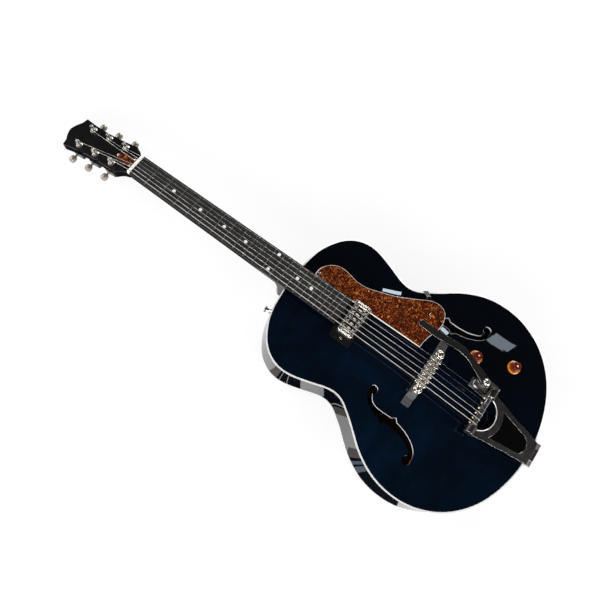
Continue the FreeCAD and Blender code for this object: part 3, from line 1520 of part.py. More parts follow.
def vibrato_spring():
    floor = SHELF_TOP + d.clear + d.spring_wire
    rise = d.spring_height - 2 * (d.clear + d.spring_wire)
    centre = V(d.spring_across, d.spring_reach, floor)
    edges = helix_edges(centre, d.spring_radius, rise / SPRING_TURNS, 0, 0, 2 * math.pi * SPRING_TURNS, 1)
    print("spring gap to itself", round(self_gap(edges, d.spring_wire, math.pi * d.spring_radius), 2))
    feature("vibrato_spring", wire_tube(edges, d.spring_wire), VIBRATO)


def rounded_run(points, radius):
    """Straight runs joined by arcs that touch both."""
    edges = []
    start = points[0]
    for before, corner, after in zip(points, points[1:], points[2:]):
        back = (before - corner).normalize()
        ahead = (after - corner).normalize()
        trim = radius * math.tan((math.pi - back.getAngle(ahead)) / 2)
        entry = corner + back * trim
        leave = corner + ahead * trim
        edges.append(Part.makeLine(start, entry))
        edges.append(arc_from(entry, -back, leave))
        start = leave
    edges.append(Part.makeLine(start, points[-1]))
    return edges


def string_path(number, post_spot):
    """From the ball end round the bar, over saddle and nut, to the turns on the post."""
    half = string_gauge(number) / 2
    across = string_across(number, d.bridge_string_spacing)
    wrap = d.bar_radius + half + d.string_gap
    saddle = saddle_spot(number) + V(0, 0, saddle_top(number) + half)
    reach = saddle - BAR_CENTRE
    away = math.hypot(reach.y, reach.z)
    lean = math.atan2(reach.z, reach.y) + math.acos(wrap / away)

    def on_bar(angle):
        return BAR_CENTRE + V(across, wrap * math.cos(angle), wrap * math.sin(angle))

    frame_slope = math.radians(d.frame_slope)
    ball_room = math.asin((d.ball_radius + d.clear) / (d.bar_radius + d.string_gap))
    last = 2 * math.pi + PIN_ANGLE + frame_slope - ball_room
    half_way = (lean + last) / 2
    edges = []
    for first, second in ((last, half_way), (half_way, lean)):
        edges.append(Part.Arc(on_bar(first), on_bar((first + second) / 2), on_bar(second)).toShape())
    nut = NECK.multVec(nut_spot(number))
    hand = 1 if post_spot.x < 0 else -1
    coil = d.post_waist_radius + half + d.string_gap
    start = HEAD.inverse().multVec(nut)
    centre = post_spot + V(0, 0, d.coil_start + half)
    gap = centre - start
    flat = math.hypot(gap.x, gap.y)
    heading = math.atan2(gap.y, gap.x) - hand * math.asin(coil / flat)
    touch_run = math.sqrt(flat ** 2 - coil ** 2)
    touch = V(start.x + touch_run * math.cos(heading), start.y + touch_run * math.sin(heading), centre.z)
    angle = math.atan2(touch.y - centre.y, touch.x - centre.x)
    pitch = 2 * half + d.coil_gap
    leave = touch + (start - touch).normalize() * d.bushing_radius
    quarter = math.pi / 2
    entry, entry_way = helix_point(centre, coil, pitch, angle, quarter, hand)
    edges += rounded_run([on_bar(lean), saddle, nut, HEAD.multVec(leave)], d.string_bend)
    turns = biarc(leave, (touch - start).normalize(), entry, entry_way)
    turns += helix_edges(centre, coil, pitch, angle, quarter, 2 * math.pi * STRING_TURNS, hand)
    print("string", number, "gap to itself", round(self_gap(turns, half, math.pi * coil), 2))
    return edges + [into(HEAD, edge) for edge in turns]


def strings():
    """Six strings with their brass ball ends."""
    posts = {number: spot for number, _, spot in TUNERS}
    wires = []
    for number in range(1, STRING_COUNT + 1):
        path = string_path(number, posts[number])
        wires.append(wire_tube(path, string_gauge(number) / 2))
        print("string", number, "length", round(sum(edge.Length for edge in path)))
        foot = BAR + V(string_across(number, d.bridge_string_spacing), 0, 0)
        seat = foot + pin_way() * (d.bar_radius + d.clear)
        ball = Part.makeCylinder(d.ball_radius, d.ball_length, seat, pin_way())
        hole = Part.makeCylinder(d.pin_radius + d.running_fit, d.ball_length, seat, pin_way())
        wires.append(into(VIBRATO, ball.cut(hole)))
    feature("strings", Part.makeCompound(wires))


# Controls, output and strap buttons

KNOB_SHARES = ((1.0, 0.0), (1.0, 0.14), (0.93, 0.22), (0.72, 0.40), (0.63, 0.62), (0.61, 0.90), (0.54, 1.0))


def controls():
    """Two potentiometers under the top, each with its turning shaft and knob."""
    cans = []
    for name, spot in CONTROLS:
        face = top_height(spot.x, spot.y)
        seat = face + d.knob_lift
        lid = face - d.top_thickness - d.pot_drop
        floor = lid - d.pot_height
        bore = d.pot_shaft_radius + d.running_fit
        wall = d.pot_drop
        can = [(0, floor), (d.pot_radius, floor), (d.pot_radius, lid), (d.pot_bushing_radius, lid),
               (d.pot_bushing_radius, face + d.knob_lift / 2), (bore, face + d.knob_lift / 2),
               (bore, floor + wall), (0, floor + wall)]
        cans.append(turned(f"{name}_pot", can, Placement(spot, Rotation())))
        socket = seat + d.knob_height / 2
        shape = [(d.pot_shaft_radius, seat)]
        shape += [(across * d.knob_radius, seat + along * d.knob_height) for across, along in KNOB_SHARES]
        shape += [(0, seat + d.knob_height), (0, socket), (d.pot_shaft_radius, socket)]
        knob = turned(f"{name}_cap", shape, Placement(spot, Rotation()))
        foot = floor + wall + d.clear
        shaft = turned(f"{name}_shaft", [(0, foot), (d.pot_shaft_radius, foot), (d.pot_shaft_radius, socket),
                                         (0, socket)], Placement(spot, Rotation()))
        group(f"{name}_knob", [knob, shaft])
    group("control_pots", cans)


def output_jack():
    profile = [(d.jack_bore_radius, d.jack_flange_height), (d.jack_bore_radius, d.overrun - d.jack_length),
               (0, d.overrun - d.jack_length), (0, -d.jack_length), (d.jack_barrel_radius, -d.jack_length),
               (d.jack_barrel_radius, 0), (d.jack_flange_radius, 0),
               (d.jack_flange_radius, d.jack_flange_height)]
    keep(turned("output_jack", profile, JACK), "output_jack")


def upper_strap_place():
    """Rim of the bass shoulder beside the heel."""
    edge = body_half_curve(0)
    widest = V(d.upper_bout / 2, TAIL + UPPER_BOUT_SHARES[2][1] * d.body_length, 0)
    low, high = edge.parameter(widest), edge.LastParameter
    for _ in range(BISECTIONS):
        middle = (low + high) / 2
        if edge.value(middle).x > d.strap_upper_across:
            low = middle
        else:
            high = middle
    spot = edge.value(low)
    run = edge.tangent(low)[0]
    return Placement(V(-spot.x, spot.y, -d.strap_upper_drop), Rotation(UP, V(-run.y, -run.x, 0)))


def strap_buttons():
    neck = (d.strap_length - d.strap_head_height) / 2
    edge = d.strap_head_radius - d.strap_neck_radius
    profile = [(0, 0), (d.strap_base_radius, 0), (d.strap_neck_radius, neck),
               (d.strap_neck_radius, d.strap_length - d.strap_head_height),
               (d.strap_head_radius, d.strap_length - d.strap_head_height / 2),
               (d.strap_head_radius - edge / 2, d.strap_length), (0, d.strap_length)]
    tail = Placement(V(0, TAIL - d.hinge_plate_thickness, -d.strap_lower_drop), Rotation(UP, -ALONG))
    group("strap_buttons", [turned("strap_upper", profile, upper_strap_place()),
                            turned("strap_lower", profile, tail)])


def build():
    """Make every piece, the screws first so that their seats can be cut."""
    places = (cover_screw_places() + housing_screw_places() + guard_screw_places() + surround_screw_places()
              + saddle_screw_places() + tail_screw_places())
    screw_list = [screw_shape(place) for place in places]
    screws = Part.makeCompound(screw_list)
    screw_set = feature("trim_screws", screws)
    feature("top_plate", top_plate().cut(screws))
    feature("back_plate", back_plate())
    sides(screws)
    bindings()
    linings()
    end_blocks(screws)
    tone_bars()
    feature("neck", neck_shape().cut(screws))
    feature("headstock_face", head_face_shape().cut(screws))
    fingerboard()
    feature("nut", nut_shape())
    feature("truss_rod", truss_rod_shape())
    truss_cover(screw_set)
    tuner_housings(screws)
    tuner_bushings()
    for number, side, spot in TUNERS:
        tuner_post(number, spot)
        tuner_key(number, side, spot)
    pickguard(screws)
    pickup(screws)
    bridge(screws)
    vibrato_frame()
    vibrato_bearings()
    hinge_plate(screws)
    vibrato_bar()
    arm_bracket()
    vibrato_arm()
    vibrato_spring()
    strings()
    controls()
    output_jack()
    strap_buttons()


build()
doc.recompute()
for piece in doc.Objects:
    if "Invalid" in piece.State or "Error" in piece.State:
        raise RuntimeError(f"{piece.Label} failed: {piece.State}")
for piece in SUB_PARTS:
    if piece.Shape.isNull() or not piece.Shape.isValid():
        raise RuntimeError(f"{piece.Label} has no valid shape")
os.makedirs("parts", exist_ok=True)
for piece in SUB_PARTS:
    piece.Shape.exportStep(f"parts/{piece.Label}.step")
print(len(SUB_PARTS), "sub-parts written")
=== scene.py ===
import json
import math

import bpy
from mathutils import Matrix, Vector


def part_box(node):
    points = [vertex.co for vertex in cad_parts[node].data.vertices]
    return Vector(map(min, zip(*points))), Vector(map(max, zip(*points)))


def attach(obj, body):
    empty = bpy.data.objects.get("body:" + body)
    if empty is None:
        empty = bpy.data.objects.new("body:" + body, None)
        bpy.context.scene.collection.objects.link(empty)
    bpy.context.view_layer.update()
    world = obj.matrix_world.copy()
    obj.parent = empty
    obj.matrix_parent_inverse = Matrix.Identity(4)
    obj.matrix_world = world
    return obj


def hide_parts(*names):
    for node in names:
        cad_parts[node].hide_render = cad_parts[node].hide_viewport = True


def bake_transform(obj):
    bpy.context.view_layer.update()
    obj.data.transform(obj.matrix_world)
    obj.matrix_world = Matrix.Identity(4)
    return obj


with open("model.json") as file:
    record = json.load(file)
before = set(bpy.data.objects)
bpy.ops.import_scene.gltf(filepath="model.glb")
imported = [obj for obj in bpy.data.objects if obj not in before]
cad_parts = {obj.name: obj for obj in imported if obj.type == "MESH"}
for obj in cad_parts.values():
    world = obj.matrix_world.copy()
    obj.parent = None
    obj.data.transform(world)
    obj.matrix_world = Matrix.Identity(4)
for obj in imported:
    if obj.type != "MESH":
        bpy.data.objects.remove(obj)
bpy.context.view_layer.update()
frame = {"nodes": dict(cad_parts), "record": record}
nodes = frame["nodes"]

MM = 0.001

# Camera, found from the frets, the outline and the bridge in the photograph
CAMERA_PLACE = Vector((-0.37633, -0.07565, 1.18457))
CAMERA_TURN = Vector((2.62631686, -1.31405944, 0.38597672))
CAMERA_LENS = 38.889
CAMERA_SENSOR = 36.0


# Shader helpers

class Socket:
    """A shader output that takes part in Python sums."""

    def __init__(self, tree, output):
        self.tree = tree
        self.output = output

    def math(self, operation, *values):
        node = self.tree.nodes.new("ShaderNodeMath")
        node.operation = operation
        for socket, value in zip(node.inputs, values):
            plug(self.tree, socket, value)
        return Socket(self.tree, node.outputs[0])

    def __add__(self, other):
        return self.math("ADD", self, other)

    def __radd__(self, other):
        return self.math("ADD", other, self)

    def __sub__(self, other):
        return self.math("SUBTRACT", self, other)

    def __rsub__(self, other):
        return self.math("SUBTRACT", other, self)

    def __mul__(self, other):
        return self.math("MULTIPLY", self, other)

    def __rmul__(self, other):
        return self.math("MULTIPLY", other, self)

    def at_most(self, other):
        return self.math("MINIMUM", self, other)


def plug(tree, socket, value):
    """Link a socket, or set its own value."""
    if isinstance(value, Socket):
        tree.links.new(value.output, socket)
    elif isinstance(value, tuple) and len(value) == 3 and socket.type == "RGBA":
        socket.default_value = (*value, 1.0)
    else:
        socket.default_value = value


class Shading:
    """A node tree and the nodes that fill it."""

    def __init__(self, owner):
        owner.use_nodes = True
        self.tree = owner.node_tree
        self.tree.nodes.clear()

    def node(self, kind, settings=None, inputs=None, out=0):
        node = self.tree.nodes.new("ShaderNode" + kind)
        for key, value in (settings or {}).items():
            if key == "stops":
                self.set_stops(node.color_ramp, value)
            else:
                setattr(node, key, value)
        for key, value in (inputs or {}).items():
            plug(self.tree, node.inputs[key], value)
        return Socket(self.tree, node.outputs[out]) if node.outputs else None

    def set_stops(self, ramp, stops):
        while len(ramp.elements) < len(stops):
            ramp.elements.new(0.5)
        for element, (place, colour) in zip(ramp.elements, stops):
            element.position = place
            element.color = (*colour, 1.0)

    def shown(self, mirrored):
        """Share of a pale backdrop: all of it to the camera, part of it to mirrors and glass."""
        seen = self.node("LightPath", out="Is Camera Ray")
        glossy = self.node("LightPath", out="Is Glossy Ray")
        clear = self.node("LightPath", out="Is Transmission Ray")
        return (seen + (glossy + clear) * mirrored).at_most(1.0)


class Finish(Shading):
    """One material and the patterns that make it."""

    def __init__(self, name):
        self.material = bpy.data.materials.new(name)
        super().__init__(self.material)

    def spots(self, scale=(1, 1, 1)):
        """Object coordinates, stretched."""
        place = self.node("TexCoord", out="Object")
        return self.node("Mapping", {"vector_type": "POINT"}, {"Vector": place, "Scale": scale})

    def place_along(self, part):
        """How far along one axis a point lies."""
        place = self.node("TexCoord", out="Object")
        return self.node("SeparateXYZ", None, {"Vector": place}, out=part)

    def facing(self, part):
        """One part of the surface's own direction."""
        way = self.node("TexCoord", out="Normal")
        return self.node("SeparateXYZ", None, {"Vector": way}, out=part)

    def noise(self, scale, detail=3.0, rough=0.5, warp=0.0, where=None):
        where = where or self.spots()
        return self.node("TexNoise", None, {"Vector": where, "Scale": scale, "Detail": detail,
                                            "Roughness": rough, "Distortion": warp})

    def ramp(self, value, *stops):
        return self.node("ValToRGB", {"stops": stops}, {"Fac": value})

    def mix(self, share, first, second):
        return self.node("Mix", {"data_type": "RGBA"}, {0: share, 6: first, 7: second}, out=2)

    def step(self, value, low, high):
        """Smooth share from 0 at low to 1 at high."""
        return self.node("MapRange", {"interpolation_type": "SMOOTHSTEP"},
                         {"Value": value, "From Min": low, "From Max": high})

    def bump(self, height, strength, distance):
        return self.node("Bump", None,
                         {"Height": height, "Strength": strength, "Distance": distance})

    def done(self, inputs):
        return self.surfaced(self.node("BsdfPrincipled", None, inputs))

    def surfaced(self, surface):
        self.node("OutputMaterial", None, {"Surface": surface})
        return self.material


# Finishes

# Where the top's colour darkens, from the middle towards the treble rim
SHADE_ACROSS = (-0.09, 0.11)

# Wood seen inside the body, and a painted highlight on the cut edges' walls that face the bass
BARE_PALE = (0.32, 0.17, 0.09)
BARE_DEEP = (0.20, 0.10, 0.05)
CUT_EDGE_PAINTED_HIGHLIGHT = (0.80, 0.80, 0.84)


def lacquer(name, deep, bright, figure, coat, inside=None, shaded=None):
    """Clear gloss over stained wood with a soft cloudy figure, bare inside the body."""
    f = Finish(name)
    cloud = f.noise(7.0, detail=5.0, rough=0.6, warp=1.0, where=f.spots((1.0, 0.6, 1.0)))
    flame = f.noise(42.0, detail=4.0, rough=0.55, warp=0.8, where=f.spots((0.35, 1.0, 1.0)))
    share = f.step(cloud * 0.7 + flame * 0.3, 0.38, 0.70) * figure
    pores = f.noise(900.0, detail=2.0, where=f.spots((1.0, 0.05, 1.0)))
    colour = f.mix(share, deep, bright)
    gloss = coat(f) if callable(coat) else coat
    if shaded:
        colour = f.mix(f.step(f.place_along("X"), *SHADE_ACROSS), colour, shaded)
    if inside:
        grain = f.noise(220.0, detail=4.0, rough=0.6, warp=0.5, where=f.spots((1.0, 0.08, 1.0)))
        bare = f.mix(grain, BARE_PALE, BARE_DEEP)
        # Painted highlight: cut-edge walls that face the bass are coloured pale, as if catching the
        # light
        bare = f.mix(f.step(f.facing("X"), -0.3, -0.7), bare, CUT_EDGE_PAINTED_HIGHLIGHT)
        unfinished = inside(f)
        colour = f.mix(unfinished, colour, bare)
        gloss = (1.0 - unfinished) * gloss
    return f.done({
        "Base Color": colour,
        "Roughness": 0.35 + flame * 0.12,
        "Normal": f.bump(pores, 0.03, 0.0002),
        "Coat Weight": gloss,
        "Coat Roughness": 0.02,
        "Coat IOR": 1.5,
        "Specular IOR Level": 0.0,
    })


def heel_gloss(f):
    """Rubbed dull along the neck, glossy at the heel."""
    return 0.05 + f.step(f.place_along("Y"), 0.09, 0.04) * 0.6


def hole_wall(f):
    """Cut edges and underside of the top."""
    return 1.0 - f.step(f.facing("Z"), 0.55, 0.75)


def back_inside(f):
    """Upper face of the back, seen through the sound holes."""
    return f.step(f.facing("Z"), 0.2, 0.5)


# Handling marks on plated metal: how much they roughen and darken it
SMUDGE = 0.06
TARNISH = 0.12


def metal(name, colour, rough, solid=1.0):
    """Plated metal with faint handling marks, and a haze where it isn't all solid."""
    f = Finish(name)
    mark = f.noise(28.0, detail=5.0, rough=0.6, warp=0.8)
    grain = f.noise(1400.0, detail=2.0)
    dark = tuple(part * (1 - TARNISH) for part in colour)
    return f.done({
        "Base Color": f.mix(f.step(mark, 0.3, 0.75), colour, dark),
        "Metallic": solid,
        "Roughness": rough + f.step(mark, 0.35, 0.8) * SMUDGE,
        "Normal": f.bump(grain, 0.02, 0.0001),
    })


def plastic(name, colour, second, rough, coat, scale=30.0, sheen=0.5):
    """Moulded or sheet plastic with slight mottling."""
    f = Finish(name)
    cloud = f.noise(scale, detail=4.0, rough=0.55)
    grain = f.noise(1800.0, detail=2.0)
    return f.done({
        "Base Color": f.mix(cloud, colour, second),
        "Roughness": rough + cloud * 0.08,
        "Normal": f.bump(grain, 0.03, 0.0001),
        "Coat Weight": coat,
        "Coat Roughness": 0.03,
        "Specular IOR Level": sheen,
    })


def grained_wood(name, light, dark, rough, coat=0.0, sheen=0.25):
    """Wood with grain along the neck."""
    f = Finish(name)
    where = f.spots((1.0, 0.06, 1.0))
    rings = f.noise(160.0, detail=5.0, rough=0.6, warp=1.2, where=where)
    pores = f.noise(900.0, detail=3.0, rough=0.6, warp=0.3, where=where)
    tone = rings * 0.7 + pores * 0.3
    return f.done({
        "Base Color": f.mix(f.step(tone, 0.32, 0.68), dark, light),
        "Roughness": rough + pores * 0.15,
        "Normal": f.bump(pores, 0.25, 0.0002),
        "Coat Weight": coat,
        "Coat Roughness": 0.05,
        "Specular IOR Level": sheen,
    })


# Tones of the tortoise sheet, from its dark clouds to its amber flecks
TORTOISE_TONES = ((0.39, (0.008, 0.002, 0.002)), (0.49, (0.050, 0.008, 0.003)),
                  (0.56, (0.17, 0.032, 0.007)), (0.645, (0.85, 0.29, 0.06)))
TORTOISE_CLOUD = (0.026, 0.007, 0.003)


def tortoise_sheet(name):
    """Red-brown sheet with amber flecks and dark clouds under gloss."""
    f = Finish(name)
    where = f.spots()
    fleck = f.noise(165.0, detail=3.5, rough=0.66, warp=2.0, where=where)
    curl = f.noise(360.0, detail=2.0, warp=2.5, where=where)
    cloud = f.noise(48.0, detail=4.0, rough=0.6, warp=1.5, where=where)
    base = f.ramp(fleck * 0.7 + curl * 0.3, *TORTOISE_TONES)
    shade = f.step(cloud, 0.44, 0.68)
    return f.done({
        "Base Color": f.mix(shade * 0.75, base, TORTOISE_CLOUD),
        "Roughness": 0.3 + fleck * 0.1,
        "Coat Weight": 0.7,
        "Coat Roughness": 0.03,
        "Specular IOR Level": 0.0,
    })


# The binding's ivory is darker on the bass side, and painted lighter on the treble side against the
# shade that falls on it there
BASS_SIDE_IVORY = ((0.66, 0.65, 0.64), (0.58, 0.57, 0.55))
TREBLE_PAINTED_LIGHT_IVORY = ((0.97, 0.96, 0.94), (0.91, 0.90, 0.87))
BASS_TO_TREBLE_IVORY = (-0.02, 0.06)
RIM_STAIN = (0.0015, 0.004, 0.010)


def edge_binding(name, low, high):
    """Ivory strip, stained over where it meets the rim."""
    f = Finish(name)
    cloud = f.noise(40.0, detail=4.0, rough=0.55)
    bass_side_ivory = f.mix(cloud, *BASS_SIDE_IVORY)
    treble_painted_light = f.mix(cloud, *TREBLE_PAINTED_LIGHT_IVORY)
    # Painted light: the treble side's ivory is lightened to cancel its shade
    ivory = f.mix(f.step(f.place_along("X"), *BASS_TO_TREBLE_IVORY), bass_side_ivory, treble_painted_light)
    over = f.step(f.place_along("Z"), low, high)
    return f.done({
        "Base Color": f.mix(over, RIM_STAIN, ivory),
        "Roughness": 0.35 + cloud * 0.08,
        "Coat Weight": 0.5,
        "Coat Roughness": 0.05,
    })


def hole_lip(name):
    """Lacquer rolled over a sound hole's edge, with a painted highlight on the side that faces the bass.
    """
    f = Finish(name)
    worn = f.noise(90.0, detail=4.0, rough=0.6)
    pale = f.mix(worn, (0.52, 0.53, 0.58), (0.40, 0.41, 0.46))
    deep = f.mix(worn, (0.002, 0.004, 0.008), (0.006, 0.009, 0.014))
    # Painted highlight: the side of the lip that faces the bass is coloured pale
    return f.done({
        "Base Color": f.mix(f.step(f.facing("X"), -0.2, -0.8), deep, pale),
        "Roughness": 0.3 + worn * 0.1,
        "Coat Weight": 1.0,
        "Coat Roughness": 0.03,
        "Specular IOR Level": 0.0,
    })


# Where along the neck a plain string turns from painted shade to its full tone, just behind the bridge
PAINTED_DIM_TO_FULL = (-0.27, -0.23)


def plain_wire(name, colour, dull):
    """Bare steel wire, with painted shade dimming it behind the bridge where it reflects less light."""
    f = Finish(name)
    mark = f.noise(60.0, detail=4.0, rough=0.6)
    full_tone = f.step(f.place_along("Y"), *PAINTED_DIM_TO_FULL)
    return f.done({
        "Base Color": f.mix(full_tone, dull, colour),
        "Metallic": 0.92,
        "Roughness": 0.28 + mark * 0.08,
    })


# Width of one band of the wave pattern at a scale of 1, in metres
WAVE_LENGTH = 0.314


def wound_wire(name, colour, dark, pitch):
    """Round wire wrapped close along the string, with painted shade in the grooves between the turns."""
    f = Finish(name)
    where = f.node("TexCoord", out="Object")
    turns = f.node("TexWave", {"wave_type": "BANDS", "bands_direction": "Y"},
                   {"Vector": where, "Scale": WAVE_LENGTH / pitch, "Distortion": 0.0})
    mark = f.noise(60.0)
    # Painted shade darkens the grooves between the turns; the noise adds random handling marks
    return f.done({
        "Base Color": f.mix(turns * 0.6 + mark * 0.4, dark, colour),
        "Metallic": 1.0,
        "Roughness": 0.30 + mark * 0.12,
        "Normal": f.bump(turns, 0.4, 0.0002),
    })


def amber_resin(name):
    """Clear amber plastic in two tones that mix in soft clouds."""
    f = Finish(name)
    cloud = f.noise(90.0)
    return f.done({
        "Base Color": f.mix(cloud, (0.74, 0.27, 0.016), (0.50, 0.13, 0.008)),
        "Roughness": 0.10 + cloud * 0.05,
        "Transmission Weight": 0.15,
        "IOR": 1.49,
        "Coat Weight": 0.6,
        "Coat Roughness": 0.03,
    })


SIDE_STAIN = ((0.0005, 0.0014, 0.0032), (0.0008, 0.0034, 0.0090))

# The finish of each slot
FINISHES = {
    "blue_top": lacquer("blue_top_lacquer", (0.0004, 0.0022, 0.0055), (0.0009, 0.0070, 0.0210),
                        figure=0.85, coat=1.0, inside=hole_wall, shaded=(0.0006, 0.0013, 0.0028)),
    "blue_side": lacquer("blue_side_lacquer", *SIDE_STAIN, figure=0.8, coat=0.85),
    "neck_wood": lacquer("neck_lacquer", (0.0010, 0.0013, 0.0020), (0.0020, 0.0026, 0.0045),
                         figure=0.6, coat=heel_gloss),
    "head_face": plastic("headstock_veneer", (0.003, 0.003, 0.003), (0.005, 0.005, 0.005),
                         rough=0.2, coat=0.4, scale=18.0, sheen=0.05),
    "binding": plastic("ivory_sheet", (0.95, 0.94, 0.92), (0.88, 0.87, 0.84),
                       rough=0.35, coat=0.5, scale=40.0),
    "bone": plastic("bone_nut", (0.92, 0.90, 0.86), (0.84, 0.81, 0.75),
                    rough=0.4, coat=0.2, scale=60.0),
    "pearl": plastic("pearl_dot", (0.82, 0.82, 0.80), (0.62, 0.64, 0.66),
                     rough=0.25, coat=0.6, scale=260.0),
    "inner_wood": grained_wood("bare_inner_wood", (0.30, 0.18, 0.09), (0.18, 0.10, 0.05), rough=0.7),
    "board_wood": grained_wood("fingerboard_wood", (0.029, 0.028, 0.027), (0.010, 0.010, 0.010),
                               rough=0.6, sheen=0.1),
    # The ebony's tone is partly its own, partly raised as a painted reflection of the lamps on its
    # polished top
    "ebony": grained_wood("bridge_ebony", (0.085, 0.084, 0.088), (0.045, 0.044, 0.046),
                          rough=0.30, coat=0.8),
    "fret_wire": metal("fret_nickel", (0.19, 0.19, 0.175), rough=0.30, solid=0.85),
    "nickel": metal("polished_nickel", (0.72, 0.67, 0.60), rough=0.20, solid=0.92),
    "pewter": metal("dark_plate", (0.20, 0.185, 0.18), rough=0.24, solid=0.99),
    "steel": metal("plain_steel", (0.60, 0.60, 0.58), rough=0.28, solid=0.90),
    # The dull tone of the plain strings is painted shade behind the bridge
    "string_wire": plain_wire("plain_string", (0.66, 0.65, 0.63), dull=(0.16, 0.16, 0.17)),
    "copper_coil": metal("coil_copper", (0.55, 0.24, 0.11), rough=0.4),
    "black_plastic": plastic("black_surround", (0.004, 0.004, 0.004), (0.007, 0.007, 0.007),
                             rough=0.35, coat=0.35, sheen=0.05),
    "panel_black": plastic("black_panel", (0.002, 0.002, 0.002), (0.002, 0.002, 0.002),
                           rough=0.3, coat=0.03, sheen=0.0),
    "tortoise": tortoise_sheet("tortoise_sheet"),
    "amber": amber_resin("amber_resin"),
}

# Finishes of single nodes, and of the pieces modelled below
SPECIAL = {
    "top_binding": edge_binding("top_edge_binding", low=0.0930, high=0.0936),
    "back_binding": edge_binding("back_edge_binding", low=0.0148, high=0.0142),
    "back_plate": lacquer("back_lacquer", *SIDE_STAIN, figure=0.8, coat=0.8, inside=back_inside),
    "wound": wound_wire("wound_string", (0.68, 0.66, 0.62), (0.34, 0.33, 0.31), pitch=0.0004),
    "brass": metal("ball_brass", (0.88, 0.78, 0.52), rough=0.22, solid=0.70),
    "black_chrome": metal("black_chrome", (0.06, 0.058, 0.056), rough=0.2, solid=0.985),
    # Pale ebony for the bridge base's rounded edges: a painted highlight
    "worn_ebony": grained_wood("worn_ebony", (0.34, 0.34, 0.36), (0.20, 0.20, 0.21),
                               rough=0.3, coat=0.8),
    "edge_shine": metal("edge_shine", (0.66, 0.64, 0.62), rough=0.22, solid=0.88),
    "slot": metal("slot_shadow", (0.05, 0.048, 0.045), rough=0.5),
    "cap": plastic("dark_amber_cap", (0.10, 0.006, 0.001), (0.06, 0.003, 0.001),
                   rough=0.12, coat=0.35, scale=80.0, sheen=0.15),
    "neck_amber": plastic("red_amber_neck", (0.24, 0.036, 0.003), (0.15, 0.018, 0.002),
                          rough=0.12, coat=0.45, scale=80.0, sheen=0.2),
    # Pale dot on each knob's cap: a painted highlight
    "pip": plastic("pale_amber_pip", (0.90, 0.50, 0.24), (0.80, 0.36, 0.12),
                   rough=0.12, coat=0.8, scale=80.0, sheen=0.4),
    "scroll": metal("scroll_nickel", (0.60, 0.55, 0.49), rough=0.26, solid=0.93),
    # Pale metal for the horseshoe's lip: a painted highlight for its bright crescent
    "bright": metal("bright_edge", (0.85, 0.83, 0.80), rough=0.30, solid=0.50),
    "chrome": metal("polished_chrome", (0.64, 0.62, 0.60), rough=0.12, solid=0.965),
    "dark_chrome": metal("dark_chrome", (0.30, 0.28, 0.26), rough=0.20, solid=0.995),
    "lip": hole_lip("lip_lacquer"),
    "lattice_floor": plastic("lattice_floor", (0.003, 0.003, 0.003), (0.006, 0.006, 0.006),
                             rough=0.5, coat=0.0, sheen=0.05),
    "key": metal("satin_key", (0.35, 0.31, 0.27), rough=0.38, solid=0.70),
}
for number in range(1, 7):
    SPECIAL[f"tuner_key_{number}"] = SPECIAL["key"]
SPECIAL["tuner_housings"] = SPECIAL["black_chrome"]
for name in ("vibrato_bar", "vibrato_bearings", "strap_buttons", "vibrato_hinge_pin"):
    SPECIAL[name] = SPECIAL["chrome"]


def dress_nodes():
    """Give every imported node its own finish, or the finish of its slot."""
    for row in frame["record"]["subparts"]:
        slots = nodes[row["node"]].data.materials
        slots.clear()
        slots.append(SPECIAL.get(row["node"]) or FINISHES[row["material_slot"]])


dress_nodes()


# Modelling helpers

MERGE_GAP = 0.002 * MM


def solo(piece):
    """Make one object the only selected one."""
    if bpy.context.mode != "OBJECT":
        bpy.ops.object.mode_set(mode="OBJECT")
    bpy.ops.object.select_all(action="DESELECT")
    piece.select_set(True)
    bpy.context.view_layer.objects.active = piece


def edit(piece):
    """Open a piece in edit mode with everything selected."""
    solo(piece)
    bpy.ops.object.mode_set(mode="EDIT")
    bpy.ops.mesh.select_all(action="SELECT")


def close():
    bpy.ops.object.mode_set(mode="OBJECT")


def started(title, add, **sizes):
    """A new primitive, open in edit mode to be shaped."""
    bpy.ops.object.select_all(action="DESELECT")
    add(**sizes)
    piece = bpy.context.object
    piece.name = title
    edit(piece)
    return piece


def stretch(across, along, up=1.0, middle=(0, 0, 0)):
    """Resize what is selected about a point."""
    bpy.ops.transform.resize(value=(across, along, up), center_override=middle)


def faced_outwards():
    """Turn all the faces of the open piece outwards."""
    bpy.ops.mesh.select_all(action="SELECT")
    bpy.ops.mesh.normals_make_consistent(inside=False)


def node_copy(name, title):
    """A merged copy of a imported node's mesh."""
    piece = bpy.data.objects.new(title, nodes[name].data.copy())
    bpy.context.scene.collection.objects.link(piece)
    edit(piece)
    bpy.ops.mesh.customdata_custom_splitnormals_clear()
    bpy.ops.mesh.remove_doubles(threshold=MERGE_GAP)
    close()
    return piece


def finished(piece, finish):
    piece.data.materials.clear()
    piece.data.materials.append(finish)


def dress(piece, slot, body, *replaced, finish=None):
    """Give a piece its finish, its body and the nodes that it stands for."""
    finished(piece, finish or FINISHES[slot])
    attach(piece, body)
    if replaced:
        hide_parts(*replaced)


def smooth(piece, degrees):
    solo(piece)
    bpy.ops.object.shade_smooth_by_angle(angle=math.radians(degrees))


def loose_parts(piece):
    edit(piece)
    bpy.ops.mesh.separate(type="LOOSE")
    close()
    return list(bpy.context.selected_objects)


def joined(parts, title):
    bpy.ops.object.select_all(action="DESELECT")
    for part in parts:
        part.select_set(True)
    bpy.context.view_layer.objects.active = parts[0]
    if len(parts) > 1:
        bpy.ops.object.join()
    piece = bpy.context.object
    piece.name = title
    return piece


def centre(piece):
    """Mean place of a piece's vertices."""
    places = [v.co for v in piece.data.vertices]
    return sum(places, Vector()) / len(places)


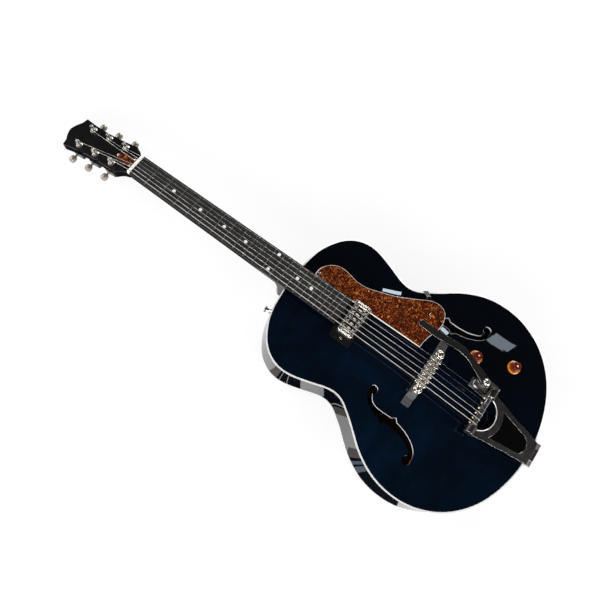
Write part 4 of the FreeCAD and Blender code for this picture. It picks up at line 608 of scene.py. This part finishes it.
def placed(piece, where, up=(0, 0, 1), spin=0.0):
    """Set a piece's place in its own mesh."""
    lean = Vector((0, 0, 1)).rotation_difference(Vector(up)).to_matrix().to_4x4()
    piece.data.transform(Matrix.Translation(Vector(where)) @ lean @ Matrix.Rotation(spin, 4, "Z"))
    return piece


def copied(piece, title):
    twin = bpy.data.objects.new(title, piece.data.copy())
    bpy.context.scene.collection.objects.link(twin)
    return twin


# Eased metal, wood and plastic

FLAT_ANGLE = math.radians(0.4)
EDGE_ANGLE = math.radians(32)


def eased(name, width, slot, body="guitar", segments=2, finish=None, edge_finish=None):
    """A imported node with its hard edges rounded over."""
    piece = node_copy(name, name + "_eased")
    edit(piece)
    bpy.ops.mesh.dissolve_limited(angle_limit=FLAT_ANGLE)
    close()
    solo(piece)
    bpy.ops.object.shade_smooth()
    edge = piece.modifiers.new("edge_round", "BEVEL")
    edge.width = width
    edge.segments = segments
    edge.limit_method = "ANGLE"
    edge.angle_limit = EDGE_ANGLE
    edge.harden_normals = True
    dress(piece, slot, body, name, finish=finish)
    if edge_finish:
        piece.data.materials.append(edge_finish)
        edge.material = 1


eased("vibrato_frame", 0.9 * MM, "pewter", segments=3, edge_finish=SPECIAL["edge_shine"])
eased("vibrato_hinge_plate", 0.6 * MM, "nickel", finish=SPECIAL["edge_shine"])
eased("arm_bracket", 0.9 * MM, "nickel", "rocker", 3, finish=SPECIAL["chrome"])
eased("vibrato_arm", 1.1 * MM, "nickel", "arm", 3, finish=SPECIAL["dark_chrome"])
eased("arm_bolt", 0.7 * MM, "nickel", "rocker", 3)
eased("vibrato_panel", 0.3 * MM, "panel_black")
eased("bridge_body", 0.7 * MM, "nickel", segments=3)
# The base's rounded edges take the pale ebony, a painted highlight
eased("bridge_base", 1.4 * MM, "ebony", segments=4, edge_finish=SPECIAL["worn_ebony"])
eased("bridge_saddles", 0.3 * MM, "nickel")
eased("pickup_surround", 0.8 * MM, "black_plastic", segments=3)
eased("pickup_cover", 1.4 * MM, "nickel", segments=4)
eased("pickguard", 0.3 * MM, "tortoise")
eased("pickguard_base", 0.2 * MM, "binding")
eased("pickguard_bracket", 0.4 * MM, "nickel", finish=SPECIAL["black_chrome"],
      edge_finish=SPECIAL["edge_shine"])
eased("truss_rod_cover", 0.35 * MM, "tortoise")
eased("frets", 0.5 * MM, "fret_wire", segments=3)
eased("nut", 0.5 * MM, "bone", segments=3)


# Strings and spring, with the ball ends that follow the rocking bar

# A loose part of the strings that is longer than this is a wire, and a shorter one a ball end
WIRE_LENGTH = 0.3
# The strings run side by side from here to the tail
TAIL_PART = -0.2
# Ball ends small enough to clear the frame when the bar rocks
BALL_EASE = 0.77


def tail_side(wire):
    """Where a string lies across the bridge."""
    across = [v.co.x for v in wire.data.vertices if v.co.y < TAIL_PART]
    return sum(across) / len(across)


def string_set():
    """Three wound and three plain strings, and their ball ends, which follow the bar."""
    parts = loose_parts(node_copy("strings", "strings_part"))
    wires = sorted((part for part in parts if part.dimensions.y > WIRE_LENGTH), key=tail_side)
    balls = [part for part in parts if part.dimensions.y <= WIRE_LENGTH]
    wound = joined(wires[:3], "strings_wound")
    plain = joined(wires[3:], "strings_plain")
    for wires_piece, finish in ((wound, SPECIAL["wound"]), (plain, FINISHES["string_wire"])):
        smooth(wires_piece, 60)
        finished(wires_piece, finish)
        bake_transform(wires_piece)
    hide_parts("strings")
    for ball in balls:
        middle = centre(ball)
        edit(ball)
        stretch(1.0, BALL_EASE, BALL_EASE, middle)
        close()
    ends = joined(balls, "ball_ends")
    smooth(ends, 40)
    dress(ends, "string_wire", "rocker", finish=SPECIAL["brass"])


def spring_piece():
    """Coil between its foot and the arm's bracket."""
    coil = node_copy("vibrato_spring", "spring_coil")
    smooth(coil, 60)
    finished(coil, FINISHES["steel"])
    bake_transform(coil)
    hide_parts("vibrato_spring")


string_set()
spring_piece()


# Shapes that the small pieces start from, sizes in millimetres

def turned(title, profile, sides):
    """Round piece raised ring by ring about the upright axis."""
    radius, level = profile[0]
    piece = started(title, bpy.ops.mesh.primitive_circle_add, vertices=sides, radius=radius * MM,
                    fill_type="NGON")
    bpy.ops.transform.translate(value=(0, 0, level * MM))
    for next_radius, next_level in profile[1:]:
        rise = (0, 0, (next_level - level) * MM)
        bpy.ops.mesh.extrude_region_move(TRANSFORM_OT_translate={"value": rise})
        ratio = next_radius / radius
        stretch(ratio, ratio, middle=(0, 0, next_level * MM))
        radius, level = next_radius, next_level
    faced_outwards()
    close()
    smooth(piece, 40)
    return piece


def plate_ring(title, length, width, rim, rise, ease):
    """Flat rectangular ring with eased edges."""
    piece = started(title, bpy.ops.mesh.primitive_plane_add, size=1.0)
    stretch(length * MM, width * MM)
    bpy.ops.mesh.inset(thickness=rim * MM, use_even_offset=True)
    bpy.ops.mesh.delete(type="FACE")
    bpy.ops.mesh.select_all(action="SELECT")
    bpy.ops.mesh.extrude_region_move(TRANSFORM_OT_translate={"value": (0, 0, rise * MM)})
    faced_outwards()
    bpy.ops.mesh.bevel(offset=ease * MM, segments=3, affect="EDGES")
    close()
    smooth(piece, 50)
    return piece


def wire_loop(title, radius, wire):
    """Round wire loop, open in edit mode."""
    return started(title, bpy.ops.mesh.primitive_torus_add, major_radius=radius * MM,
                   minor_radius=wire * MM, major_segments=36, minor_segments=10)


def loop_ring(title, across, along, wire):
    """Oval wire loop."""
    piece = wire_loop(title, across, wire)
    stretch(1.0, along / across)
    close()
    smooth(piece, 70)
    return piece


def half_loop(title, radius, wire, cut=0.25):
    """Open curl, the lower part of a wire loop with its ends capped."""
    piece = wire_loop(title, radius, wire)
    bpy.ops.mesh.bisect(plane_co=(0, cut * radius * MM, 0), plane_no=(0, 1, 0), clear_outer=True)
    bpy.ops.mesh.select_all(action="SELECT")
    bpy.ops.mesh.fill_holes(sides=0)
    bpy.ops.mesh.normals_make_consistent(inside=False)
    close()
    smooth(piece, 60)
    return piece


# A crowned boss's rings, as shares of its half length and of its rise
CROWN = ((1.0, 0.0), (0.96, 0.4), (0.76, 0.8), (0.4, 0.97), (0.1, 1.0))


def lens_bar(title, length, width, rise):
    """Long low boss with a crowned top."""
    half = length / 2
    piece = turned(title, [(half * out, rise * up) for out, up in CROWN], 28)
    edit(piece)
    stretch(width / length, 1.0)
    close()
    smooth(piece, 50)
    return piece


def slot_bar(title, length, width, depth):
    """Shadow of a driver slot, eased at its ends."""
    piece = started(title, bpy.ops.mesh.primitive_cube_add, size=1.0)
    stretch(length * MM, width * MM, depth * MM)
    bpy.ops.mesh.bevel(offset=0.12 * MM, segments=2, affect="EDGES")
    close()
    return piece


# Knobs, each part's rings as radius and height

SKIRT = ((11.6, 0.0), (12.2, 0.5), (12.2, 1.9), (11.9, 2.5), (11.3, 2.9), (10.4, 3.3), (9.6, 3.6),
         (8.6, 3.7))
NECK = ((9.4, 3.2), (9.5, 3.7), (9.1, 4.3), (8.6, 5.4), (8.2, 7.2), (8.0, 9.0), (7.5, 9.3))
CAP = ((7.3, 8.0), (7.75, 9.2), (7.65, 13.2), (7.5, 15.0), (7.1, 16.0), (6.4, 16.55), (5.6, 16.5),
       (5.2, 16.1), (4.6, 16.15), (3.0, 16.5), (1.2, 16.6), (0.3, 16.6))
# Pale dot at the middle of the cap, a painted highlight
PIP = ((1.7, 16.3), (1.8, 16.6), (1.5, 16.95), (0.9, 17.15), (0.2, 17.2))
KNOB_RISE = 17.0
KNOB_PARTS = (("skirt", SKIRT, FINISHES["amber"]), ("neck", NECK, SPECIAL["neck_amber"]),
              ("cap", CAP, SPECIAL["cap"]), ("pip", PIP, SPECIAL["pip"]))


def knobs():
    """Bell knobs: a clear amber skirt, a redder neck and a dark cap with a pale pip, a painted
    highlight.
    """
    for part, profile, finish in KNOB_PARTS:
        model = turned("knob_" + part, profile, 72)
        for node in ("volume_knob", "tone_knob"):
            low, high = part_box(node)
            foot = ((low[0] + high[0]) / 2, (low[1] + high[1]) / 2, high[2] - KNOB_RISE * MM)
            body = node.split("_")[0]
            stands_for = [node] if part == "skirt" else []
            knob_part = placed(copied(model, f"{body}_{part}"), foot)
            dress(knob_part, "amber", body, *stands_for, finish=finish)
        bpy.data.objects.remove(model)


knobs()


# Relief of the pickup cover, places from its middle in millimetres

LATTICE_PITCH = 9.5
BEAD = ((1.4, 0.0), (1.5, 0.3), (1.3, 0.8), (0.8, 1.1), (0.2, 1.2))
CURL_ALONG = 6.9
BEAD_ALONG = 10.0
END_ACROSS = 28.0
HOOK_ACROSS = 24.6
HOOK_ALONG = 5.2
BOSS_LIFT = 0.2
CURL_LIFT = 0.6
LOOP_LIFT = 0.8


def cover_top():
    low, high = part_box("pickup_cover")
    return Vector(((low[0] + high[0]) / 2, (low[1] + high[1]) / 2, high[2]))


def pickup_relief():
    """Plated scrolls between the strings over a dark window, inside a raised rim."""
    top = cover_top()
    rim = plate_ring("cover_rim", length=64.0, width=28.4, rim=2.4, rise=1.5, ease=0.7)
    placed(rim, top - Vector((0, 0, 0.15 * MM)))
    floor = plate_ring("cover_window", length=59.0, width=23.0, rim=11.3, rise=0.35, ease=0.1)
    placed(floor, top - Vector((0, 0, 0.1 * MM)))
    lens = lens_bar("cover_lens", length=9.0, width=2.8, rise=1.1)
    bead = turned("cover_bead", BEAD, 24)
    curl = half_loop("cover_curl", radius=1.9, wire=0.55)
    end_loop = loop_ring("cover_end", across=2.2, along=9.4, wire=0.75)
    end_curl = half_loop("cover_hook", radius=2.4, wire=0.6)
    scrolls, loops = [], []

    def lay(piece, across, along, lift, spin=0.0, kept=scrolls):
        twin = copied(piece, piece.name + "_twin")
        placed(twin, top + Vector((across, along, lift)) * MM, spin=spin)
        kept.append(twin)

    for step in range(-2, 3):
        across = step * LATTICE_PITCH
        lay(lens, across, 0, BOSS_LIFT)
        for side in (-1, 1):
            lay(curl, across, side * CURL_ALONG, CURL_LIFT, math.pi * (side + 1) / 2)
            lay(bead, across, side * BEAD_ALONG, BOSS_LIFT)
    for side in (-1, 1):
        lay(end_loop, side * END_ACROSS, 0, LOOP_LIFT, kept=loops)
        lay(bead, side * END_ACROSS, 0, BOSS_LIFT, kept=loops)
        for way in (-1, 1):
            lay(end_curl, side * HOOK_ACROSS, way * HOOK_ALONG, CURL_LIFT, side * way * math.pi / 2)
    for start in (lens, bead, curl, end_loop, end_curl):
        bpy.data.objects.remove(start)
    dress(joined(scrolls, "cover_scrolls"), "nickel", "guitar", finish=SPECIAL["scroll"])
    dress(joined(loops, "cover_loops"), "nickel", "guitar")
    dress(rim, "nickel", "guitar")
    dress(floor, "black_plastic", "guitar", finish=SPECIAL["lattice_floor"])


pickup_relief()


# Bridge and vibrato details, rings as radius and height

COLLAR = ((7.7, 0.0), (8.1, 0.5), (8.1, 2.2), (7.8, 2.9), (7.0, 3.4), (6.2, 3.4), (5.6, 2.9), (5.3, 2.0),
          (5.1, 1.9), (4.9, 2.6), (4.3, 3.3), (3.0, 3.9), (1.2, 4.2), (0.2, 4.25))
SMALL_DOME = ((1.35, 0.0), (1.5, 0.2), (1.5, 1.5), (1.25, 2.0), (0.8, 2.3), (0.2, 2.42))
ROLLER = ((1.6, -4.3), (2.8, -4.1), (3.2, -3.6), (3.2, -2.6), (2.6, -2.2), (2.6, -1.4), (3.2, -1.0),
          (3.2, 1.0), (2.6, 1.4), (2.6, 2.2), (3.2, 2.6), (3.2, 3.6), (2.8, 4.1), (1.6, 4.3))
BOLT_DOME = ((5.7, 0.0), (6.2, 0.4), (6.2, 1.4), (5.8, 2.4), (4.9, 3.2), (3.4, 3.8), (1.6, 4.15),
             (0.3, 4.22))
WASHER = ((7.5, 0.0), (7.8, 0.12), (7.8, 0.24), (7.4, 0.36))

POST_RADIUS = 2.0 * MM
POST_SLOT_RISE = 3.75 * MM
SADDLE_PITCH = 10.2
SCREW_OUT = 1.2
GROOVE_OUT = 2.2
ROLLER_OUT = 5.9
FRAME_SLOPE = math.radians(8.5)
HORSESHOE_MIDDLE = Vector((0, -0.38960, 0.12160))
ARM_PIVOT = Vector((0.0405, -0.365789, 0.138197))
ARM_AXIS = Vector((0, -0.0436, 0.9990))
BOLT_RISE = 7.25
WASHER_RISE = 6.85


def bridge_details():
    """Slotted post heads, and a ribbed roller and a screw before and behind each saddle."""
    low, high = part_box("bridge_body")
    middle = (low[1] + high[1]) / 2
    post_low, post_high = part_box("bridge_posts")
    head = turned("bridge_head", COLLAR, 48)
    slot = slot_bar("bridge_slot", length=8.4, width=1.5, depth=1.1)
    heads, slots = [], []
    for side, spin in ((post_low[0] + POST_RADIUS, 0.5), (post_high[0] - POST_RADIUS, -0.9)):
        where = Vector((side, middle, high[2] - 0.1 * MM))
        heads.append(placed(copied(head, "head_twin"), where))
        over = where + Vector((0, 0, POST_SLOT_RISE))
        slots.append(placed(copied(slot, "slot_twin"), over, spin=spin))
    screw = turned("saddle_screw", SMALL_DOME, 32)
    groove = slot_bar("saddle_groove", length=2.4, width=0.5, depth=0.5)
    roller = turned("saddle_roller", ROLLER, 24)
    screws, grooves, rollers = [], [], []
    for number in range(6):
        across = (number - 2.5) * SADDLE_PITCH * MM
        for face, way in ((low[1], -1.0), (high[1], 1.0)):
            where = Vector((across, face + way * SCREW_OUT * MM, (low[2] + high[2]) / 2))
            screws.append(placed(copied(screw, "screw_twin"), where, (0, way, 0)))
            end = where + Vector((0, way * GROOVE_OUT * MM, 0))
            grooves.append(placed(copied(groove, "groove_twin"), end, (0, way, 0), 0.6 * number))
            ridge = Vector((across, middle + way * ROLLER_OUT * MM, high[2] - 0.5 * MM))
            rollers.append(placed(copied(roller, "roller_twin"), ridge, (1, 0, 0)))
    for start in (head, slot, screw, groove, roller):
        bpy.data.objects.remove(start)
    dress(joined(heads, "bridge_post_heads"), "nickel", "guitar")
    dress(joined(slots + grooves, "bridge_slots"), "nickel", "guitar", finish=SPECIAL["slot"])
    dress(joined(screws, "saddle_screws"), "nickel", "guitar")
    dress(joined(rollers, "saddle_rollers"), "nickel", "guitar")


def vibrato_details():
    """Lip along the horseshoe in pale metal that paints its highlight, and the dome and washer of the
    arm's bolt.
    """
    lip = half_loop("horseshoe_lip", radius=32.1, wire=0.75, cut=-0.12)
    placed(lip, HORSESHOE_MIDDLE, (0, -math.sin(FRAME_SLOPE), math.cos(FRAME_SLOPE)))
    dress(lip, "pewter", "guitar", finish=SPECIAL["bright"])
    dome = turned("bolt_dome", BOLT_DOME, 40)
    placed(dome, ARM_PIVOT + ARM_AXIS * BOLT_RISE * MM, ARM_AXIS)
    dress(dome, "nickel", "rocker")
    washer = turned("arm_washer", WASHER, 40)
    placed(washer, ARM_PIVOT + ARM_AXIS * WASHER_RISE * MM, ARM_AXIS)
    dress(washer, "pewter", "arm", finish=SPECIAL["slot"])


bridge_details()
vibrato_details()


# Rounded lip of the treble sound hole

HOLE_LENGTH = (0.10, 0.20)
HOLE_ACROSS = (0.05, 0.14)
LIP_RADIUS = 0.5 * MM


def is_treble_hole(loop):
    """Whether a loop of sharp edges runs round the treble sound hole."""
    return (HOLE_LENGTH[0] < loop.dimensions.y < HOLE_LENGTH[1]
            and HOLE_ACROSS[0] < centre(loop).x < HOLE_ACROSS[1])


def hole_edges():
    """The loops of sharp edges on the top."""
    shell = node_copy("top_plate", "hole_lips")
    edit(shell)
    bpy.ops.mesh.select_mode(type="EDGE")
    bpy.ops.mesh.select_all(action="DESELECT")
    bpy.ops.mesh.edges_select_sharp(sharpness=math.radians(60))
    bpy.ops.mesh.duplicate()
    bpy.ops.mesh.separate(type="SELECTED")
    close()
    edges = [piece for piece in bpy.context.selected_objects if piece is not shell][0]
    bpy.data.objects.remove(shell)
    edit(edges)
    bpy.ops.mesh.delete(type="ONLY_FACE")
    close()
    return loose_parts(edges)


def treble_hole_lip():
    """Wire along the upper edge of the treble sound hole, where the lacquer rolls over."""
    loops = hole_edges()
    upper = max(filter(is_treble_hole, loops), key=lambda loop: centre(loop).z)
    for loop in loops:
        if loop != upper:
            bpy.data.objects.remove(loop)
    joined([upper], "sound_hole_lips")
    bpy.ops.object.convert(target="CURVE")
    wire = bpy.context.object
    wire.data.bevel_depth = LIP_RADIUS
    wire.data.bevel_resolution = 3
    bpy.ops.object.convert(target="MESH")
    lip = bpy.context.object
    smooth(lip, 60)
    dress(lip, "blue_top", "guitar", finish=SPECIAL["lip"])


treble_hole_lip()


# Stage, light and camera

FLOOR_SIZE = 12.0
FLOOR_TONE = (0.9, 0.9, 0.9)
FLOOR_GLOW = 0.85
FLOOR_MIRRORED = 0.4
AIR_DARK = (0.30, 0.31, 0.33)
AIR_LIGHT = 0.06
AIR_PALE = (FLOOR_GLOW, FLOOR_GLOW, FLOOR_GLOW)
AIR_MIRRORED = 0.01
WHITE_LIGHT = (1.0, 1.0, 1.0)
COOL_LIGHT = (0.74, 0.86, 1.0)

# Soft boxes round the guitar: place, aim, size and power
SOFT_BOXES = (
    ("bass_box", (-2.0, -0.3, 1.2), (0, -0.1, 0.05), (1.6, 1.2), 55),
    ("tail_box", (-0.5, -2.2, 1.1), (0, -0.2, 0.05), (1.6, 1.0), 42),
    ("neck_box", (-0.3, 2.1, 1.3), (0, 0.1, 0.05), (1.4, 1.0), 40),
    ("treble_box", (2.1, 0.2, 0.9), (0, -0.1, 0.05), (1.4, 0.8), 36),
)

# Small lamps near the top, each mirrored in the lacquer as a pale patch, with their long side's way
PATCHES = (
    ("lower_patch", (0.266, -0.432, 0.302), (0.138, -0.364, 0.099), (0.053, 0.015), 0.0116,
     (-0.242, -0.956, -0.165)),
    ("waist_patch", (0.118, -0.152, 0.140), (0.092, -0.147, 0.098), (0.035, 0.0051), 0.0102,
     (0.302, -0.921, -0.246)),
    ("corner_patch", (0.136, -0.274, 0.168), (0.090, -0.267, 0.103), (0.019, 0.0068), 0.0065,
     (-0.201, -0.979, 0.026)),
)

# Cards beside the bass rim: place across, width, then each card's tone and its ends along the neck
CARD_LEVEL = 0.0006
CARD_TONES = {"dark": (0.010, 0.010, 0.012), "warm": (0.30, 0.26, 0.24), "cool": (0.30, 0.33, 0.42)}
CARD_ROWS = (
    (-0.150, 0.060, (("warm", -0.053, -0.073), ("dark", -0.073, -0.0795), ("dark", -0.081, -0.0955),
                     ("dark", -0.097, -0.123))),
    (-0.138, 0.050, (("dark", -0.165, -0.1805), ("dark", -0.182, -0.1845), ("warm", -0.1845, -0.196))),
    (-0.208, 0.060, (("warm", -0.243, -0.262), ("dark", -0.262, -0.268), ("cool", -0.268, -0.275),
                     ("dark", -0.275, -0.279), ("cool", -0.279, -0.291), ("dark", -0.291, -0.386))),
)


def stage_floor():
    """Pale floor that reads white to the camera and keeps a soft shadow."""
    floor = started("studio_floor", bpy.ops.mesh.primitive_plane_add, size=FLOOR_SIZE)
    close()
    f = Finish("studio_white")
    matt = f.node("BsdfDiffuse", None, {"Color": FLOOR_TONE})
    glow = f.node("Emission", None, {"Color": WHITE_LIGHT, "Strength": 1.0})
    share = f.shown(FLOOR_MIRRORED) * FLOOR_GLOW
    floor.data.materials.append(f.surfaced(f.node("MixShader", None, {0: share, 1: matt, 2: glow})))


def studio_air():
    """Dark air round the guitar, which reads as pale as the far floor to the camera."""
    world = bpy.data.worlds.new("studio_air")
    bpy.context.scene.world = world
    air = Shading(world)
    dark = air.node("Background", None, {"Color": AIR_DARK, "Strength": AIR_LIGHT})
    pale = air.node("Background", None, {"Color": AIR_PALE, "Strength": 1.0})
    both = air.node("MixShader", None, {0: air.shown(AIR_MIRRORED), 1: dark, 2: pale})
    air.node("OutputWorld", None, {"Surface": both})


def soft_box(name, place, aim, size, power, along=None, colour=WHITE_LIGHT):
    """Soft light turned to a point, with its long side along a direction."""
    lamp = bpy.data.lights.new(name, "AREA")
    lamp.color = colour
    lamp.shape = "RECTANGLE"
    lamp.size, lamp.size_y = size
    lamp.energy = power
    box = bpy.data.objects.new(name, lamp)
    bpy.context.scene.collection.objects.link(box)
    box.location = place
    back = (Vector(place) - Vector(aim)).normalized()
    turn = back.to_track_quat("Z", "Y").to_matrix()
    if along:
        side = (Vector(along) - Vector(along).project(back)).normalized()
        turn = Matrix((side, back.cross(side), back)).transposed()
    box.rotation_euler = turn.to_euler()


def studio_lamps():
    for box in SOFT_BOXES:
        soft_box(*box)
    for patch in PATCHES:
        soft_box(*patch, colour=COOL_LIGHT)


def rim_cards():
    """Cards by the bass rim that only mirrors see, as a studio uses for depth."""
    cloths = {}
    for tone, colour in CARD_TONES.items():
        f = Finish("card_" + tone)
        cloths[tone] = f.surfaced(f.node("BsdfDiffuse", None, {"Color": colour}))
    cards = [(across, width, *card) for across, width, row in CARD_ROWS for card in row]
    for number, (across, width, tone, near, far) in enumerate(cards, 1):
        card = started(f"flag_{number}", bpy.ops.mesh.primitive_plane_add, size=1.0,
                       location=(across, (near + far) / 2, CARD_LEVEL))
        close()
        card.scale = (width, near - far, 1.0)
        card.visible_camera = False
        card.visible_diffuse = False
        card.visible_transmission = False
        card.visible_shadow = False
        card.data.materials.append(cloths[tone])


def photo_camera():
    turn = Matrix.Rotation(CAMERA_TURN.length, 3, CAMERA_TURN.normalized())
    right, down, ahead = turn
    axes = Matrix((right, -down, -ahead)).transposed()
    data = bpy.data.cameras.new("photo_camera")
    data.sensor_width = CAMERA_SENSOR
    data.lens = CAMERA_LENS
    camera = bpy.data.objects.new("photo_camera", data)
    bpy.context.scene.collection.objects.link(camera)
    camera.matrix_world = Matrix.Translation(CAMERA_PLACE) @ axes.to_4x4()
    bpy.context.scene.camera = camera


stage_floor()
studio_air()
studio_lamps()
rim_cards()
photo_camera()
bpy.context.scene.view_settings.view_transform = "Standard"
